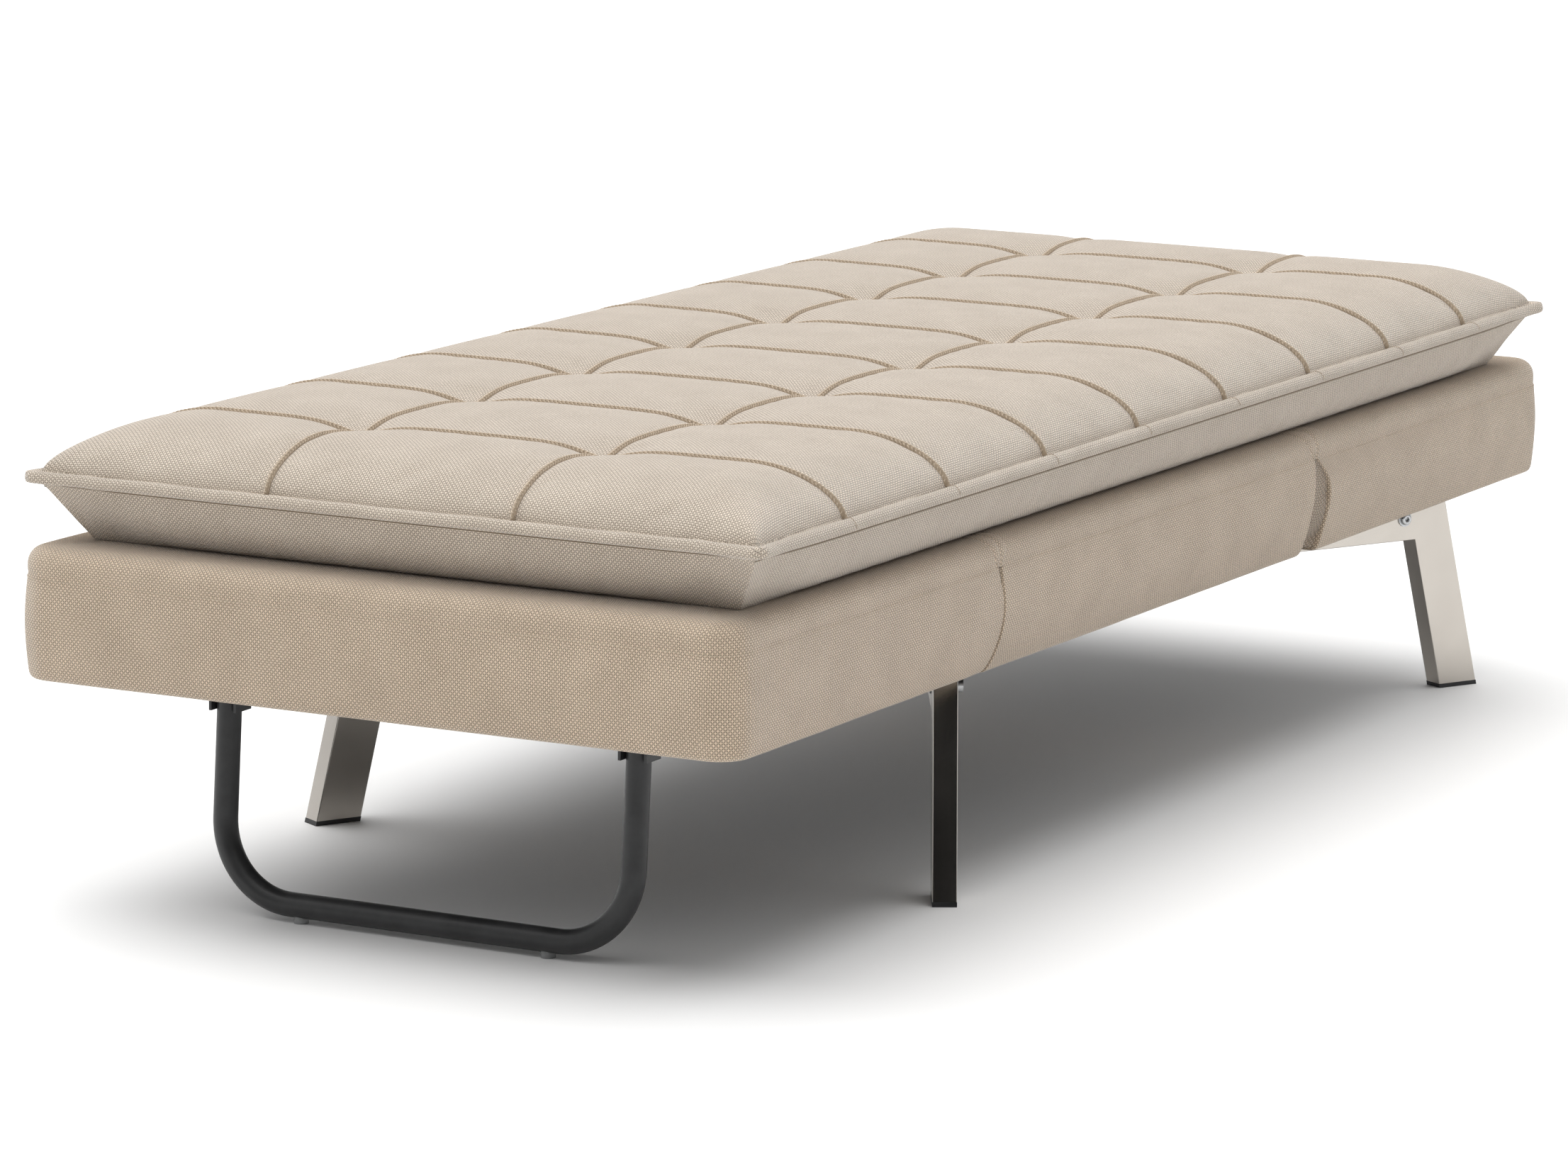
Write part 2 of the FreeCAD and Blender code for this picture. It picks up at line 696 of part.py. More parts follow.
def topper_section(place, seams):
    """Closed section of the topper: flat underside, welt, and three puffs across."""
    end = min(place, seams[-1] - place)
    inside = max(0, end - number("welt_lip"))
    dome = 1 - min(1, inside / number("end_dome"))
    crown = math.sqrt(1 - dome * dome)
    row = max(index for index, seam in enumerate(seams[:-1]) if place >= seam)
    share = (place - seams[row]) / (seams[row + 1] - seams[row])
    puff = 1 - (2 * share - 1) ** 2
    welt_low = number("base_top + welt_height - welt_thick / 2")
    welt_top = number("base_top + welt_height + welt_thick / 2")
    bottom = number("base_top + soft_clear")
    taper = min(1, inside / number("contact_inset - welt_lip"))
    bottom = welt_low + (bottom - welt_low) * taper
    rise = number("base_top + topper_rise") - welt_top
    tuft, seam = number("tuft_drop"), number("seam_drop")
    least = number("soft_clear")
    line = welt_top + crown * (rise - tuft + (tuft - seam) * puff)
    top = welt_top + crown * (rise - seam * (1 - puff)) + least
    outer = number("topper_width / 2")
    lip = outer - number("welt_lip")
    foot = outer - number("contact_inset")
    column = number("column_width / 2")
    peak = (column + lip) / 2

    def at(x, z):
        return Vector(x, place, z)

    def run(*points):
        return [Part.LineSegment(a, b).toShape() for a, b in zip(points, points[1:])]

    def bow(a, b, c):
        return Part.Arc(a, b, c).toShape()
    middle_out = (lip + (peak - lip) * SHOULDER_REACH, welt_top + (top - welt_top) * SHOULDER_HEIGHT + least)
    middle_in = ((peak + column) / 2, line + (top - line) * INNER_HEIGHT + least)
    edges = run(at(-foot, bottom), at(foot, bottom), at(lip, welt_low), at(outer, welt_low),
                at(outer, welt_top), at(lip, welt_top))
    edges.append(bow(at(lip, welt_top), at(*middle_out), at(peak, top)))
    edges.append(bow(at(peak, top), at(*middle_in), at(column, line)))
    edges.append(bow(at(column, line), at(0, top), at(-column, line)))
    edges.append(bow(at(-column, line), at(-middle_in[0], middle_in[1]), at(-peak, top)))
    edges.append(bow(at(-peak, top), at(-middle_out[0], middle_out[1]), at(-lip, welt_top)))
    edges += run(at(-lip, welt_top), at(-outer, welt_top), at(-outer, welt_low), at(-lip, welt_low),
                 at(-foot, bottom))
    return Part.Wire(edges)


def fold_wedge(fold):
    """Space over a fold line that the topper's crease fills."""
    axis, height = number(f"{fold}_axis"), number("axis_height")
    gap, slope = number("joint_gap"), number(f"{fold}_slope")
    tall = number("hinge_drop + 2 * topper_rise")
    wide = number("topper_width")
    corners = [(axis - gap, height), (axis + gap, height),
               (axis + gap + tall * slope, height + tall), (axis - gap - tall * slope, height + tall)]
    loop = [Vector(-wide, y, z) for y, z in corners]
    return Part.Face(Part.makePolygon(loop + loop[:1])).extrude(Vector(2 * wide, 0, 0))


def topper():
    """Quilted topper in three parts with a crease over each fold."""
    seams = topper_seams()
    stations = topper_stations(seams)
    whole = Part.makeLoft([topper_section(place, seams) for place in stations], True, True)
    whole.translate(Vector(0, number("foot_end + topper_foot_inset"), 0))
    wedges = {fold: fold_wedge(fold) for fold in ("foot", "back")}
    parts = whole.cut(list(wedges.values())).Solids
    parts.sort(key=lambda solid: solid.CenterOfMass.y)
    for section, solid in zip(("foot", "seat", "back"), parts):
        feature = doc.addObject("Part::Feature", f"{section}_topper")
        feature.Shape = solid
        node(f"topper_{section}", feature)
    for fold, wedge in wedges.items():
        feature = doc.addObject("Part::Feature", f"{fold}_topper_crease")
        feature.Shape = whole.common(wedge).Solids[0]
        node(f"topper_crease_{fold}", feature)


# Crossing trestles


DIAGONALS = {"right": "atan(feet_span_y / feet_span_x)", "left": "-atan(feet_span_y / feet_span_x)"}


def leg_outer(height):
    """Outer edge of a leg at a height, along its diagonal."""
    return f"leg_reach + half_cut - ({height}) * lean_slope"


def leg_inner(height):
    """Inner edge of a leg at a height, along its diagonal."""
    return f"leg_reach - half_cut - ({height}) * lean_slope"


def on_diagonal(body, diagonal):
    """Stand a body drawn in XZ on one diagonal of the feet."""
    body.Placement = Placement(Vector(), Rotation(Vector(0, 0, 1), 1))
    bind(body, Placement__Base__y="leg_centre_y", Placement__Rotation__Angle=DIAGONALS[diagonal])
    return body


def slab(name, corners, thick, end=1):
    """Body of an outline in the XZ plane with a thickness; end picks the side of the crossing."""
    body = new_body(name)
    sketch = sketch_on(body, "XZ_Plane", f"{name}_outline")
    outline(sketch, [(f"{end} * ({u})", v) for u, v in corners])
    grow(body, "Pad", sketch, thick)
    return body


def hollow(body, name, corners, end=1):
    """Bore of a rectangular tube."""
    sketch = sketch_on(body, "XZ_Plane", f"{name}_bore")
    outline(sketch, [(f"{end} * ({u})", v) for u, v in corners])
    grow(body, "Pocket", sketch, "tube_thick - 2 * tube_wall")


def beam(name, diagonal):
    """Diagonal tube with mitred ends and a bolt hole near each end."""
    top, low = leg_outer("beam_top"), leg_inner("beam_bottom")
    body = slab(name, [(f"-({low})", "beam_bottom"), (low, "beam_bottom"), (top, "beam_top"),
                       (f"-({top})", "beam_top")], "tube_thick")
    inside, above = "beam_bottom + tube_wall", "beam_top - tube_wall"
    past = f"{top} + tube_depth"
    hollow(body, name, [(f"-({past})", inside), (past, inside), (past, above), (f"-({past})", above)])
    holes = sketch_on(body, "XZ_Plane", f"{name}_bolt_holes")
    for end in (1, -1):
        ring(holes, (f"{end} * bolt_place", "bolt_height"), "bolt_radius + bolt_play")
    grow(body, "Pocket", holes, "2 * tube_thick")
    return on_diagonal(body, diagonal)


def leg(name, diagonal, end):
    """Splayed leg tube, mitred to its beam."""
    body = slab(name, [(leg_inner("cap_thick"), "cap_thick"), (leg_outer("cap_thick"), "cap_thick"),
                       (leg_outer("beam_top"), "beam_top"), (leg_inner("beam_bottom"), "beam_bottom")],
                "tube_thick", end)
    past = "beam_top + tube_depth"
    bore = [(f"{leg_inner('0')} + wall_cut", "0"), (f"{leg_outer('0')} - wall_cut", "0"),
            (f"{leg_outer(past)} - wall_cut", past), (f"{leg_inner(past)} + wall_cut", past)]
    hollow(body, name, bore, end)
    return on_diagonal(body, diagonal)


def corner_connector(name, diagonal, end):
    """Bent block inside a beam and a leg that the leg bolt passes through."""
    low, high = "beam_bottom + tube_wall + tube_fit", "beam_top - tube_wall - tube_fit"
    drop = "beam_bottom - connector_drop"
    body = slab(name, [("bolt_place - connector_arm", low), (f"{leg_inner(low)} + fit_cut", low),
                       (f"{leg_inner(drop)} + fit_cut", drop), (f"{leg_outer(drop)} - fit_cut", drop),
                       (f"{leg_outer(high)} - fit_cut", high), ("bolt_place - connector_arm", high)],
                "tube_thick - 2 * (tube_wall + tube_fit)", end)
    hole = sketch_on(body, "XZ_Plane", f"{name}_hole")
    ring(hole, (f"{end} * bolt_place", "bolt_height"), "bolt_radius + bolt_play")
    grow(body, "Pocket", hole, "2 * tube_thick")
    return on_diagonal(body, diagonal)


def foot_cap(name, diagonal, end):
    """Plastic cap under a leg with a plug inside the tube."""
    body = slab(name, [(leg_inner("0"), "0"), (leg_outer("0"), "0"), (leg_outer("cap_thick"), "cap_thick"),
                       (leg_inner("cap_thick"), "cap_thick")], "tube_thick", end)
    plug = sketch_on(body, "XZ_Plane", f"{name}_plug")
    top = "cap_thick + cap_plug"
    corners = [(f"{leg_inner('cap_thick')} + fit_cut", "cap_thick"),
               (f"{leg_outer('cap_thick')} - fit_cut", "cap_thick"),
               (f"{leg_outer(top)} - fit_cut", top), (f"{leg_inner(top)} + fit_cut", top)]
    outline(plug, [(f"{end} * ({u})", v) for u, v in corners])
    grow(body, "Pad", plug, "tube_thick - 2 * (tube_wall + tube_fit)")
    return on_diagonal(body, diagonal)


def round_on_diagonal(name, diagonal, end, radius, start, length):
    """Disc or shank square to a beam's side at a leg bolt; start is measured from the beam's middle."""
    body = new_body(name)
    sketch = sketch_on(body, "XZ_Plane", f"{name}_circle")
    ring(sketch, (f"{end} * bolt_place", "bolt_height"), radius)
    bind(sketch, AttachmentOffset__Base__z=start)
    grow(body, "Pad", sketch, length, symmetric=False)
    return on_diagonal(body, diagonal)


def leg_fixings(corners):
    """Leg bolts, washers and nuts at the four corners of the trestles."""
    face = "tube_thick / 2"
    bolts, washers, nuts = [], [], []
    for name, diagonal, end in corners:
        shank = round_on_diagonal(f"{name}_bolt", diagonal, end, "bolt_radius",
                                  f"-{face} - washer_thick - nut_thick",
                                  "tube_thick + 2 * washer_thick + nut_thick")
        head = round_on_diagonal(f"{name}_head", diagonal, end, "bolt_head_radius",
                                 f"{face} + washer_thick", "bolt_head")
        bolts.append(fuse(f"{name}_bolt_whole", shank, head))
        hole = round_on_diagonal(f"{name}_hole", diagonal, end, "bolt_radius",
                                 "-2 * tube_thick", "4 * tube_thick")
        for side, start in (("head", face), ("nut", f"-{face} - washer_thick")):
            disc = round_on_diagonal(f"{name}_disc_{side}", diagonal, end, "washer_radius",
                                     start, "washer_thick")
            washers.append(cut(f"{name}_washer_{side}", disc, hole))
        nut = round_on_diagonal(f"{name}_nut_round", diagonal, end, "nut_radius",
                                f"-{face} - washer_thick - nut_thick", "nut_thick")
        nuts.append(cut(f"{name}_nut", nut, hole))
    node("leg_bolts", group("leg_bolt_set", *bolts))
    node("leg_washers", group("leg_washer_set", *washers))
    node("leg_nuts", group("leg_nut_set", *nuts))


def mount_places():
    """Where the beams are bolted up to the seat frame, by beam."""
    places = {"right": [("0", "leg_centre_y")], "left": []}
    for diagonal, sign in (("right", ""), ("left", "-")):
        for y in ("front_bolt_y", "rear_bolt_y"):
            places[diagonal].append((f"{sign}(({y}) - leg_centre_y) * splay", y))
    return places


def mount_holes(name, places):
    """Upright clearance holes for the mounting bolts."""
    return [rod(f"{name}_hole_{index}", (x, y, "beam_bottom - tube_depth"), "z", "bolt_radius + bolt_play",
                "3 * tube_depth + plate_thick") for index, (x, y) in enumerate(places)]


def trestles():
    """Two crossing trestles with their legs, fixings and seat mounts."""
    corners = [("leg_rear_right", "right", 1), ("leg_front_left", "right", -1),
               ("leg_front_right", "left", 1), ("leg_rear_left", "left", -1)]
    places = mount_places()
    node("beam_long", cut("beam_right_drilled", beam("beam_right", "right"),
                          *mount_holes("beam_right", places["right"])))
    half = "2 * tube_depth"
    crossing = slab("crossing", [(f"-{half}", "beam_bottom"), (half, "beam_bottom"),
                                 (half, "beam_top"), (f"-{half}", "beam_top")], "tube_thick")
    on_diagonal(crossing, "right")
    node("beam_halves", cut("beam_left_drilled", beam("beam_left", "left"), crossing,
                            *mount_holes("beam_left", places["left"])))
    for name, diagonal, end in corners:
        node(name, leg(f"{name}_tube", diagonal, end))
    node("corner_connectors", group("connector_set", *[
        corner_connector(f"{name}_connector", diagonal, end) for name, diagonal, end in corners]))
    node("foot_caps", group("cap_set", *[
        foot_cap(f"{name}_cap", diagonal, end) for name, diagonal, end in corners]))
    leg_fixings(corners)
    seat_mounts(places)
    back_bumpers()


def seat_mounts(places):
    """Plates between beams and seat frame, and the bolts through them."""
    spots = places["right"] + places["left"]
    holes = mount_holes("plate", spots)
    plate = box("centre_plate_blank",
                ("-centre_plate_width / 2", "leg_centre_y - centre_plate_front", "beam_top"),
                ("centre_plate_width / 2", "rear_bolt_y + plate_margin", "base_bottom"))
    node("centre_plate", cut("centre_plate_drilled", plate, *holes))
    fronts = []
    for index, (x, y) in enumerate(spot for spot in spots if spot[1] == "front_bolt_y"):
        blank = box(f"front_plate_blank_{index}",
                    (f"{x} - front_plate_width / 2", f"{y} - plate_margin", "beam_top"),
                    (f"{x} + front_plate_width / 2", f"{y} + plate_margin", "base_bottom"))
        fronts.append(cut(f"front_plate_{index}", blank, *mount_holes(f"front_plate_{index}", [(x, y)])))
    node("front_plates", group("front_plate_set", *fronts))
    bolts = []
    for index, (x, y) in enumerate(spots):
        shank = rod(f"mount_shank_{index}", (x, y, "beam_bottom"), "z", "bolt_radius",
                    "rail_top - rail_clear - beam_bottom")
        head = rod(f"mount_head_{index}", (x, y, "beam_bottom - bolt_head"), "z",
                   "bolt_head_radius", "bolt_head")
        bolts.append(fuse(f"mount_bolt_{index}", shank, head))
    node("mount_bolts", group("mount_bolt_set", *bolts))


def back_bumpers():
    """Rubber blocks on the rear arms of the beams that the back section rests on."""
    near, far = "bolt_place - bumper_inset - bumper_length", "bolt_place - bumper_inset"
    corners = [(near, "beam_top"), (far, "beam_top"),
               (far, "base_bottom - soft_clear"), (near, "base_bottom - soft_clear")]
    width = "tube_thick - 2 * bumper_margin"
    blocks = [on_diagonal(slab(f"bumper_{diagonal}", corners, width, end), diagonal)
              for diagonal, end in (("right", 1), ("left", -1))]
    node("back_bumpers", group("bumper_set", *blocks))


# Support hoop


def hoop():
    """Bent round tube that leans out from its pivots."""
    body = new_body("hoop_body")
    path = sketch_on(body, "XZ_Plane", "hoop_path")
    side, bend = number("hoop_side"), number("hoop_bend")
    head, floor = number("hoop_head"), -number("hoop_drop")
    turn = bend * math.sqrt(0.5)
    spots = [Vector(-side, head, 0), Vector(-side, floor + bend, 0), Vector(-side + bend, floor, 0),
             Vector(side - bend, floor, 0), Vector(side, floor + bend, 0), Vector(side, head, 0)]
    mid_left = Vector(-side + bend - turn, floor + bend - turn, 0)
    mid_right = Vector(side - bend + turn, floor + bend - turn, 0)
    path.addGeometry(Part.LineSegment(spots[0], spots[1]), False)
    path.addGeometry(Part.Arc(spots[1], mid_left, spots[2]), False)
    path.addGeometry(Part.LineSegment(spots[2], spots[3]), False)
    path.addGeometry(Part.Arc(spots[3], mid_right, spots[4]), False)
    path.addGeometry(Part.LineSegment(spots[4], spots[5]), False)
    left_centre = ("-hoop_side + hoop_bend", "-hoop_drop + hoop_bend")
    right_centre = ("hoop_side - hoop_bend", "-hoop_drop + hoop_bend")
    corners = {(0, 1): ("-hoop_side", "hoop_head"), (0, 2): ("-hoop_side", "-hoop_drop + hoop_bend"),
               (2, 1): ("-hoop_side + hoop_bend", "-hoop_drop"),
               (2, 2): ("hoop_side - hoop_bend", "-hoop_drop"),
               (4, 1): ("hoop_side", "-hoop_drop + hoop_bend"), (4, 2): ("hoop_side", "hoop_head")}
    for (geometry, point), place in corners.items():
        tie_point(path, geometry, point, place)
    bends = ((1, (0, 2), (2, 1), left_centre), (3, (2, 2), (4, 1), right_centre))
    for arc, start, end, centre in bends:
        path.addConstraint(Sketcher.Constraint("Coincident", arc, 1, *start))
        path.addConstraint(Sketcher.Constraint("Coincident", arc, 2, *end))
        index = path.addConstraint(Sketcher.Constraint("DistanceX", -1, 1, arc, 3, number(centre[0])))
        path.setExpression(f"Constraints[{index}]", cell(centre[0]))
    profile = sketch_on(body, "XY_Plane", "hoop_section")
    ring(profile, ("-hoop_side", "0"), "hoop_radius")
    ring(profile, ("-hoop_side", "0"), "hoop_radius - hoop_wall")
    bind(profile, AttachmentOffset__Base__z="hoop_head")
    doc.recompute()
    sweep = body.newObject("PartDesign::AdditivePipe", "hoop_sweep")
    sweep.Profile = profile
    sweep.Spine = (path, [f"Edge{index}" for index in range(1, 6)])
    doc.recompute()
    holes = sketch_on(body, "YZ_Plane", "hoop_pivot_hole")
    ring(holes, ("0", "0"), "bolt_radius + pin_play")
    grow(body, "Pocket", holes, "2 * hoop_width")
    body.Placement = Placement(Vector(), Rotation(Vector(1, 0, 0), 1))
    bind(body, Placement__Base__y="pivot_y", Placement__Base__z="pivot_height",
         Placement__Rotation__Angle="-hoop_lean * 1 deg")
    node("support_hoop", body)


def hoop_glides():
    """Round glides under the hoop, flat on the floor."""
    blank = rod("glide_blank", ("glide_span / 2", "hoop_floor_y", "0"), "z", "glide_radius",
                "glide_height + hoop_radius / 2")
    tube = rod("glide_seat", ("0", "hoop_floor_y", "glide_height + hoop_radius"), "x",
               "hoop_radius", "hoop_side")
    node("hoop_glides", pair("glide_pair", cut("glide", blank, tube)))


def bracket_screw_places():
    return [("hoop_side", f"pivot_y {sign} bracket_screw_span / 2") for sign in "-+"]


def hoop_brackets():
    """Folded brackets under the foot section with the hoop's pivot bolts."""
    under = "base_bottom - bracket_sheet"
    inside, outside = "ear_inside", "ear_inside + bracket_sheet"
    web = box("bracket_web", (f"hoop_side - ({outside})", "pivot_y - bracket_length / 2", under),
              (f"hoop_side + {outside}", "pivot_y + bracket_length / 2", "base_bottom"))
    low = "pivot_height - bracket_ear / 2"
    ears = []
    for name, near, far in (("in", f"-({outside})", f"-({inside})"), ("out", inside, outside)):
        ears.append(box(f"bracket_ear_{name}", (f"hoop_side + ({near})", "pivot_y - bracket_ear / 2", low),
                        (f"hoop_side + ({far})", "pivot_y + bracket_ear / 2", under)))
    bore = rod("bracket_bore", ("0", "pivot_y", "pivot_height"), "x", "bolt_radius + pin_play", "hoop_width")
    screw_bores = [rod(f"bracket_screw_bore_{index}", (x, y, under), "z", "bracket_screw_radius + screw_play",
                       "2 * bracket_sheet") for index, (x, y) in enumerate(bracket_screw_places())]
    bracket = cut("bracket", fuse("bracket_blank", web, *ears), bore, *screw_bores)
    node("hoop_brackets", pair("bracket_pair", bracket))
    screws = []
    for index, (x, y) in enumerate(bracket_screw_places()):
        shank = rod(f"bracket_shank_{index}", (x, y, under), "z", "bracket_screw_radius",
                    "bracket_sheet + dust_skin + bracket_screw_bite")
        head = rod(f"bracket_head_{index}", (x, y, f"{under} - screw_head"), "z",
                   "bracket_screw_head_radius", "screw_head")
        screw = fuse(f"bracket_screw_{index}", shank, head)
        screws += [screw, mirrored(screw)]
    node("bracket_screws", group("bracket_screw_set", *screws))
    pivot_bolts(outside)


def pivot_bolts(outside):
    """Bolts through brackets and hoop, headed outside and nutted inside."""
    span = f"2 * ({outside})"
    place = ("pivot_y", "pivot_height")
    start = f"hoop_side - ({outside}) - nut_thick"
    shank = rod("pivot_shank", (start, *place), "x", "bolt_radius", f"{span} + nut_thick")
    head = rod("pivot_head", (f"hoop_side + {outside}", *place), "x", "bolt_head_radius", "bolt_head")
    node("pivot_bolts", pair("pivot_bolt_pair", fuse("pivot_bolt", shank, head)))
    blank = rod("pivot_nut_blank", (start, *place), "x", "nut_radius", "nut_thick")
    bore = rod("pivot_nut_bore", (start, *place), "x", "bolt_radius", "nut_thick")
    node("pivot_nuts", pair("pivot_nut_pair", cut("pivot_nut", blank, bore)))


# The whole chaise


def build():
    for section in ("foot", "seat", "back"):
        upholstery(section)
    board = box("leg_board", ("-rail_inside", "pivot_y - leg_board_width / 2", "rail_bottom"),
                ("rail_inside", "pivot_y + leg_board_width / 2", "rail_bottom + rail_thick"))
    wood_frame("foot", board)
    wood_frame("seat", cross_rail("seat_rail_centre", "leg_centre_y - rail_thick / 2"),
               cross_rail("seat_rail_mount", "front_bolt_y - rail_thick / 2"))
    wood_frame("back", cross_rail("back_rail_centre", "(back_rail_start + back_rail_end - rail_thick) / 2"))
    side_pleats("foot", foot_face, seat_front_face)
    side_pleats("back", seat_rear_face, back_face)
    seat_screws = []
    for fold, towards in (("foot", 1), ("back", -1)):
        crease_roll(fold)
        seat_hinge(fold, towards)
        moving_hinge(fold, -towards)
        hinge_pins(fold)
        detent_springs(fold, towards)
        seat_screws += hinge_screws(f"{fold}_seat_hinge", fold, towards, "frame_side + hinge_plate")
        moving = hinge_screws(f"{fold}_moving_hinge", fold, -towards, "outer_plate + hinge_plate")
        node(f"hinge_screws_{fold}", group(f"{fold}_moving_screws", *moving))
    node("hinge_screws_seat", group("seat_screw_set", *seat_screws))
    topper()
    trestles()
    hoop()
    hoop_glides()
    hoop_brackets()


def check():
    """Stop on any failed object or empty sub-part."""
    doc.recompute()
    failed = [thing.Name for thing in doc.Objects if {"Invalid", "Error"} & set(thing.State)]
    if failed:
        raise RuntimeError(f"failed objects: {failed}")
    for label, thing in nodes.items():
        if thing.Shape.isNull() or not thing.Shape.isValid() or not thing.Shape.Solids:
            raise RuntimeError(f"bad sub-part: {label}")


def write():
    os.makedirs("parts", exist_ok=True)
    for label, thing in nodes.items():
        thing.Shape.exportStep(f"parts/{label}.step")
        print(f"{label}: {len(thing.Shape.Solids)} solids, {thing.Shape.Volume / 1000:.1f} cubic cm")


build()
check()
write()
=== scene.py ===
import math
import time

import bmesh
import bpy
import numpy as np
from mathutils import Matrix, Vector


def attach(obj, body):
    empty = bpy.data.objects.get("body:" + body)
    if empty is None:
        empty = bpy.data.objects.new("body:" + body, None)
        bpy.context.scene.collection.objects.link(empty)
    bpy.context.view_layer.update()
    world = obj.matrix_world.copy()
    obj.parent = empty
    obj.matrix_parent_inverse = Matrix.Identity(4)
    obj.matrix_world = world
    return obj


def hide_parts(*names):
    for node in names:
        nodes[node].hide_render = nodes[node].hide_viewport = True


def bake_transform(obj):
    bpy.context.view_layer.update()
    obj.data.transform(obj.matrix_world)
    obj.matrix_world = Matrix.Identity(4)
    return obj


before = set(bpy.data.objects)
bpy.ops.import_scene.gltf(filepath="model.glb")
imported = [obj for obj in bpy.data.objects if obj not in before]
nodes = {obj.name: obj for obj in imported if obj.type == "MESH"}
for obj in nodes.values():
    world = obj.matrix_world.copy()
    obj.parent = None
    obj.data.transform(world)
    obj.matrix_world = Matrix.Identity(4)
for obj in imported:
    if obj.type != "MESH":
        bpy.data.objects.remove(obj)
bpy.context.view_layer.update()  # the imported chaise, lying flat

scene = bpy.context.scene
started = time.time()


def stage(words):
    print(f"{words} ({time.time() - started:.0f} s)")


# Shader sums: a wire is a socket that can be added, subtracted and multiplied
class Wire:
    def __init__(self, finish, socket):
        self.finish, self.socket = finish, socket

    def out(self, key):
        return Wire(self.finish, self.socket.node.outputs[key])

    def __add__(self, other):
        return self.finish.sum("ADD", self, other)

    def __radd__(self, other):
        return self.finish.sum("ADD", other, self)

    def __sub__(self, other):
        return self.finish.sum("SUBTRACT", self, other)

    def __rsub__(self, other):
        return self.finish.sum("SUBTRACT", other, self)

    def __mul__(self, other):
        return self.finish.sum("MULTIPLY", self, other)

    def __rmul__(self, other):
        return self.finish.sum("MULTIPLY", other, self)

    def __abs__(self):
        return self.finish.sum("ABSOLUTE", self)


class Finish:
    def __init__(self, tree):
        self.tree = tree

    def add(self, kind, settings=None, sockets=None, out=0):
        node = self.tree.nodes.new(kind)
        for key, value in (settings or {}).items():
            setattr(node, key, value)
        for key, value in (sockets or {}).items():
            self.feed(node.inputs[key], value)
        return Wire(self, node.outputs[out] if node.outputs else node.inputs[0])

    def feed(self, socket, value):
        if isinstance(value, Wire):
            self.tree.links.new(value.socket, socket)
        else:
            socket.default_value = value

    def sum(self, operation, *terms):
        return self.add("ShaderNodeMath", {"operation": operation}, dict(enumerate(terms)))

    def mix(self, share, first, second):
        colours = [value if isinstance(value, Wire) else (*value, 1) for value in (first, second)]
        return self.add("ShaderNodeMix", {"data_type": "RGBA"}, {0: share, 6: colours[0], 7: colours[1]}, out=2)

    def vector(self, operation, first, second, key=1):
        return self.add("ShaderNodeVectorMath", {"operation": operation}, {0: first, key: second})

    def noise(self, place, scale, detail=2.0, rough=0.5):
        return self.add("ShaderNodeTexNoise", {}, {"Vector": place, "Scale": scale, "Detail": detail,
                                                    "Roughness": rough})

    def span(self, value, low, high, start=0.0, end=1.0):
        return self.add("ShaderNodeMapRange", {"clamp": True},
                        {"Value": value, "From Min": low, "From Max": high, "To Min": start, "To Max": end})

    def stretch(self, place, scale):
        return self.add("ShaderNodeMapping", {}, {"Vector": place, "Scale": scale})

    def relief(self, height, depth, strength=1.0):
        return self.add("ShaderNodeBump", {}, {"Strength": strength, "Distance": depth, "Height": height})


def newFinish(name, **shaderValues):
    material = bpy.data.materials.new(name)
    material.use_nodes = True
    finish = Finish(material.node_tree)
    finish.tree.nodes.clear()
    finish.material = material
    shader = finish.add("ShaderNodeBsdfPrincipled", {}, {})
    finish.shader = shader.socket.node
    finish.add("ShaderNodeOutputMaterial", {}, {"Surface": shader})
    dress(finish, **shaderValues)
    return finish


socketNames = {"colour": "Base Color", "rough": "Roughness", "metal": "Metallic", "normal": "Normal",
               "sheen": "Sheen Weight", "sheenRough": "Sheen Roughness", "sheenTint": "Sheen Tint",
               "specular": "Specular IOR Level", "through": "Transmission Weight", "ior": "IOR"}


def dress(finish, **values):
    for key, value in values.items():
        if isinstance(value, tuple) and len(value) == 3:
            value = (*value, 1)
        finish.feed(finish.shader.inputs[socketNames[key]], value)


def clothPlace(f):
    return f.add("ShaderNodeUVMap", {"uv_map": "cloth"})


def objectPlace(f):
    return f.add("ShaderNodeTexCoord", {}, {}).out("Object")


# Coarse plain weave; the cloth coordinates are in metres, so yarns keep their size everywhere
weaveLook = {
    "pitch": 0.00236, "wander": 0.00055, "driftScale": 190.0,
    "relief": 0.0010, "fuzzScale": 1500.0, "fuzz": 0.25,
    "patchScale": 17.0, "fleckScale": 330.0, "fleckShare": 0.62, "toneRange": (0.34, 0.66),
    "paler": 0.30, "sunk": 0.52, "gapShade": 0.95, "gapRange": (0.12, 0.60),
    "sheenTint": (0.88, 0.94, 1.0),
}
pleatLook = {**weaveLook, "pitch": 0.0031, "relief": 0.0014}  # the same cloth stretched open in the pleats
